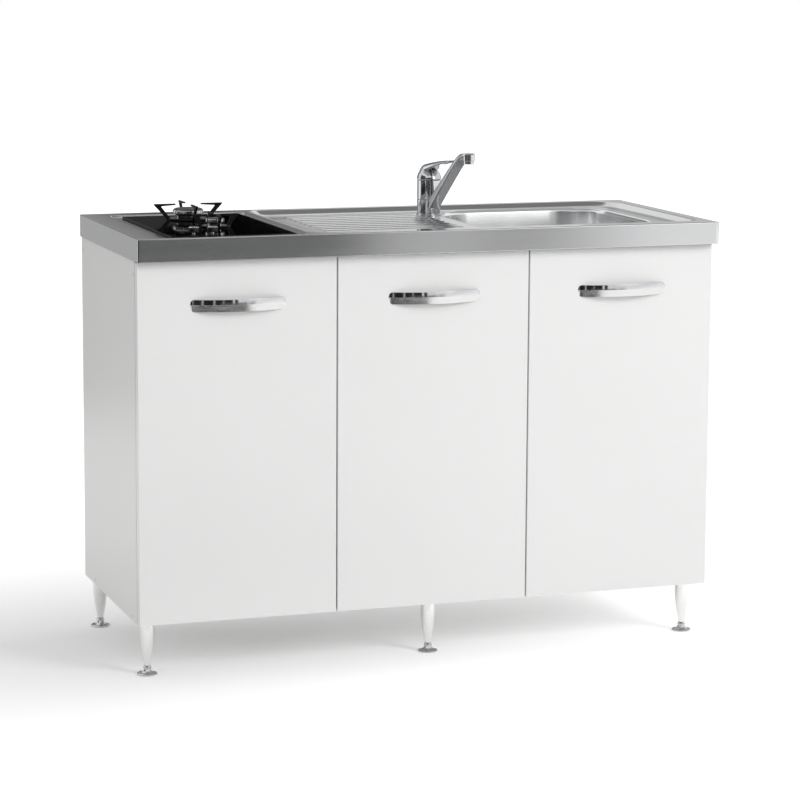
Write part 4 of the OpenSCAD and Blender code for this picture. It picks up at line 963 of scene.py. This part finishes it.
def smooth_run(stops, count):
    """Points and values on a smooth curve through stops, each a tuple of numbers."""
    run = []
    for k in range(len(stops) - 1):
        around = stops[max(k - 1, 0)], stops[k], stops[k + 1], stops[min(k + 2, len(stops) - 1)]
        for s in range(count):
            t = s / count
            run.append(tuple(
                0.5 * (2 * b + (c - a) * t + (2 * a - 5 * b + 4 * c - d) * t ** 2
                       + (3 * b - a - 3 * c + d) * t ** 3) for a, b, c, d in zip(*around)))
    return run + [stops[-1]]


def swept_bar(stops, corner, turn_angle):
    """Points and faces of a flat bar along a curve of (forward, height over the deck, width, thickness),
    turned about the tap."""
    run = smooth_run(stops, CURVE_STEPS)
    points = []
    for k, (y, z, width, thick) in enumerate(run):
        before, after = run[max(k - 1, 0)], run[min(k + 1, len(run) - 1)]
        along = Vector((after[0] - before[0], after[1] - before[1])).normalized()
        outline = rounded_ring(width / 2, thick / 2, min(corner, thick * 0.49), CORNER_CUTS)
        for u, v in outline:
            forward, height = y - along.y * v, z + along.x * v
            px = u * math.cos(turn_angle) + forward * math.sin(turn_angle)
            py = u * math.sin(turn_angle) - forward * math.cos(turn_angle)
            points.append((tap_x + mm(px), tap_y + mm(py), mm(DECK_Z + height)))
    return points, loft_faces(len(run), len(outline), capped=True)


arm_stops = [(16, 17, 25, 18), (45, 42, SPOUT_W, 16), (90, 79, SPOUT_W, 12.5), (135, 115, SPOUT_W, 10),
             (160, 132, SPOUT_W, 9), (178, 137.5, SPOUT_W, 8.5), (190, 138, SPOUT_W - 2, 8)]
finish_mesh("spout_arm", *swept_bar(arm_stops, 4.0, SPOUT_TURN), chrome, "spout", "tap_chrome",
            ["tap_spout"], sharp=45)
nozzle = eased([(0, 6), (NOZZLE_R - 3, 6), (NOZZLE_R - 3, 0.4), (NOZZLE_R - 2.4, 0), (NOZZLE_R - 1.4, 0),
                (NOZZLE_R - 1.0, 0.6), (NOZZLE_R - 1.0, 6.6), (NOZZLE_R, 7.2), (NOZZLE_R, NOZZLE_H - 2.5),
                (NOZZLE_R - 2, NOZZLE_H), (0, NOZZLE_H)], 0.5)
nozzle_place = (tap_x + mm(SPOUT_REACH) * math.sin(SPOUT_TURN),
                tap_y - mm(SPOUT_REACH) * math.cos(SPOUT_TURN), mm(DECK_Z + OUTLET_H))
turned("spout_nozzle", nozzle, nozzle_place, chrome, "spout", "tap_chrome", ["tap_spout"], steps=64)

# -------------------------------- Tap lever
# A chrome dome over the cartridge, cut back behind so that it can tip. It runs out into a hood that
# flattens to a long paddle and rises towards the front.
LEVER_TURN = math.radians(4)
LIFT = math.radians(22)
DOME_R = BODY_R + 1
DOME_SKIRT = 1.2
DOME_WALL = 2.3
DOME_ROWS = 18
DOME_STEPS = 96
PIVOT_H = body_top - DECK_Z + 1.5
skirt_angle = math.asin(DOME_SKIRT / DOME_R)
dome_points = []
for row in range(DOME_ROWS + 1):
    for k in range(DOME_STEPS):
        a = 2 * math.pi * k / DOME_STEPS
        start_angle = -skirt_angle + max(0, math.atan(math.sin(a) * math.tan(LIFT)))
        tilt = start_angle + (math.pi / 2 - start_angle) * row / DOME_ROWS
        reach = mm(DOME_R) * math.cos(tilt)
        dome_points.append((tap_x + reach * math.cos(a + LEVER_TURN),
                            tap_y + reach * math.sin(a + LEVER_TURN),
                            mm(DECK_Z + PIVOT_H + DOME_R * math.sin(tilt))))
finish_mesh("lever_dome", dome_points, loft_faces(DOME_ROWS + 1, DOME_STEPS), chrome, "lever", "tap_chrome",
            ["tap_lever"], wall=mm(DOME_WALL))
paddle_stops = [(forward, PIVOT_H + rise, width, thick) for forward, rise, width, thick in (
    (-9, 14, 34, 16), (4, 22.8, 34, 14.5), (25, 28.9, 29, 12.4), (48, 34.4, 24, 9.8), (80, 40.4, 20, 6.6),
    (108, 44.2, 16.6, 4.6), (115.5, 45, 15, 3.4))]
finish_mesh("lever_paddle", *swept_bar(paddle_stops, 5.0, LEVER_TURN), chrome, "lever", "tap_chrome",
            ["tap_lever"], sharp=45)

# -------------------------------- Doors
# Three doors of the same white melamine board, edged all round, with the hinge cups and the handle screws
# bored in from the back and through.
door_white = new_finish("door_melamine", (0.89, 0.89, 0.885), 0.30, shade=0.012, grain_size=650.0,
                        bump=0.04, rough_spread=0.03)
for side in ("left", "middle", "right"):
    dress(door_white, "door_" + side)
    dress(zinc, "hinge_cups_" + side)
dress(zinc, "hinge_arms", "hinge_plates")

# -------------------------------- Door handles
# A bow of flat bar, satin on the lower facet and polished on the upper, with rounded ends that meet the
# door. Two screws come through the door into it.
handle_satin = new_finish("handle_satin", (0.60, 0.60, 0.595), 0.20, metallic=1.0, shade=0.08,
                          grain_size=240.0, stretch=(0.06, 1.0, 1.0), rough_spread=0.06)
HANDLE_T = 5.0
END_R = 8.0
END_STEPS = 8
BOW_STEPS = 56
FACET_SPLIT = 1.8
SCREW_IN = 15
SCREW_HEAD = eased([(0, 0), (4, 0), (4, 1.2), (2.6, 2.0), (0, 2.0)], 0.4)
for side in ("left", "middle", "right"):
    x0, x1, y0, _, z0, z1 = in_mm(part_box("handle_" + side))
    _, _, front, back, _, _ = in_mm(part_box("door_" + side))
    mid_x, half = (x0 + x1) / 2, (x1 - x0) / 2
    mid_z, half_h = (z0 + z1) / 2, (z1 - z0) / 2
    out = front - y0
    bow_r = (half ** 2 + out ** 2) / (2 * out)
    section = eased([(0, -half_h), (HANDLE_T - 2.5, -half_h), (HANDLE_T, 2), (HANDLE_T - 0.6, half_h),
                     (0, half_h)], 0.6, steps=2, closed=True)
    stations = ruled((-half, END_R / END_STEPS), (-half + END_R, 2 * (half - END_R) / BOW_STEPS),
                     (half - END_R, END_R / END_STEPS), (half, 1))
    points = []
    for x in stations:
        a = math.asin(x / bow_r)
        near_end = max(0.0, abs(x) - (half - END_R)) / END_R
        squeeze = 1 - END_R / half_h * (1 - math.sqrt(max(0.0, 1 - near_end ** 2)))
        for depth, height in section:
            r = bow_r - HANDLE_T + depth
            y = min(front - out + bow_r - r * math.cos(a), front)
            points.append(mm(mid_x + r * math.sin(a), y, mid_z + height * squeeze))
    bow = finish_mesh("handle_bow_" + side, points, loft_faces(len(stations), len(section), capped=True),
                      [handle_satin, polished], "door_" + side + "_body", "handle_metal",
                      ["handle_" + side], sharp=25)
    for face in bow.data.polygons:
        face.material_index = 1 if face.center.z * 1000 > mid_z + FACET_SPLIT else 0
    for end, sign in (("left", -1), ("right", 1)):
        turned(f"handle_screw_{side}_{end}", SCREW_HEAD, mm(mid_x + sign * (half - SCREW_IN), back, mid_z),
               zinc, "door_" + side + "_body", "plated_steel", ["handle_" + side], steps=32, axis="Y")
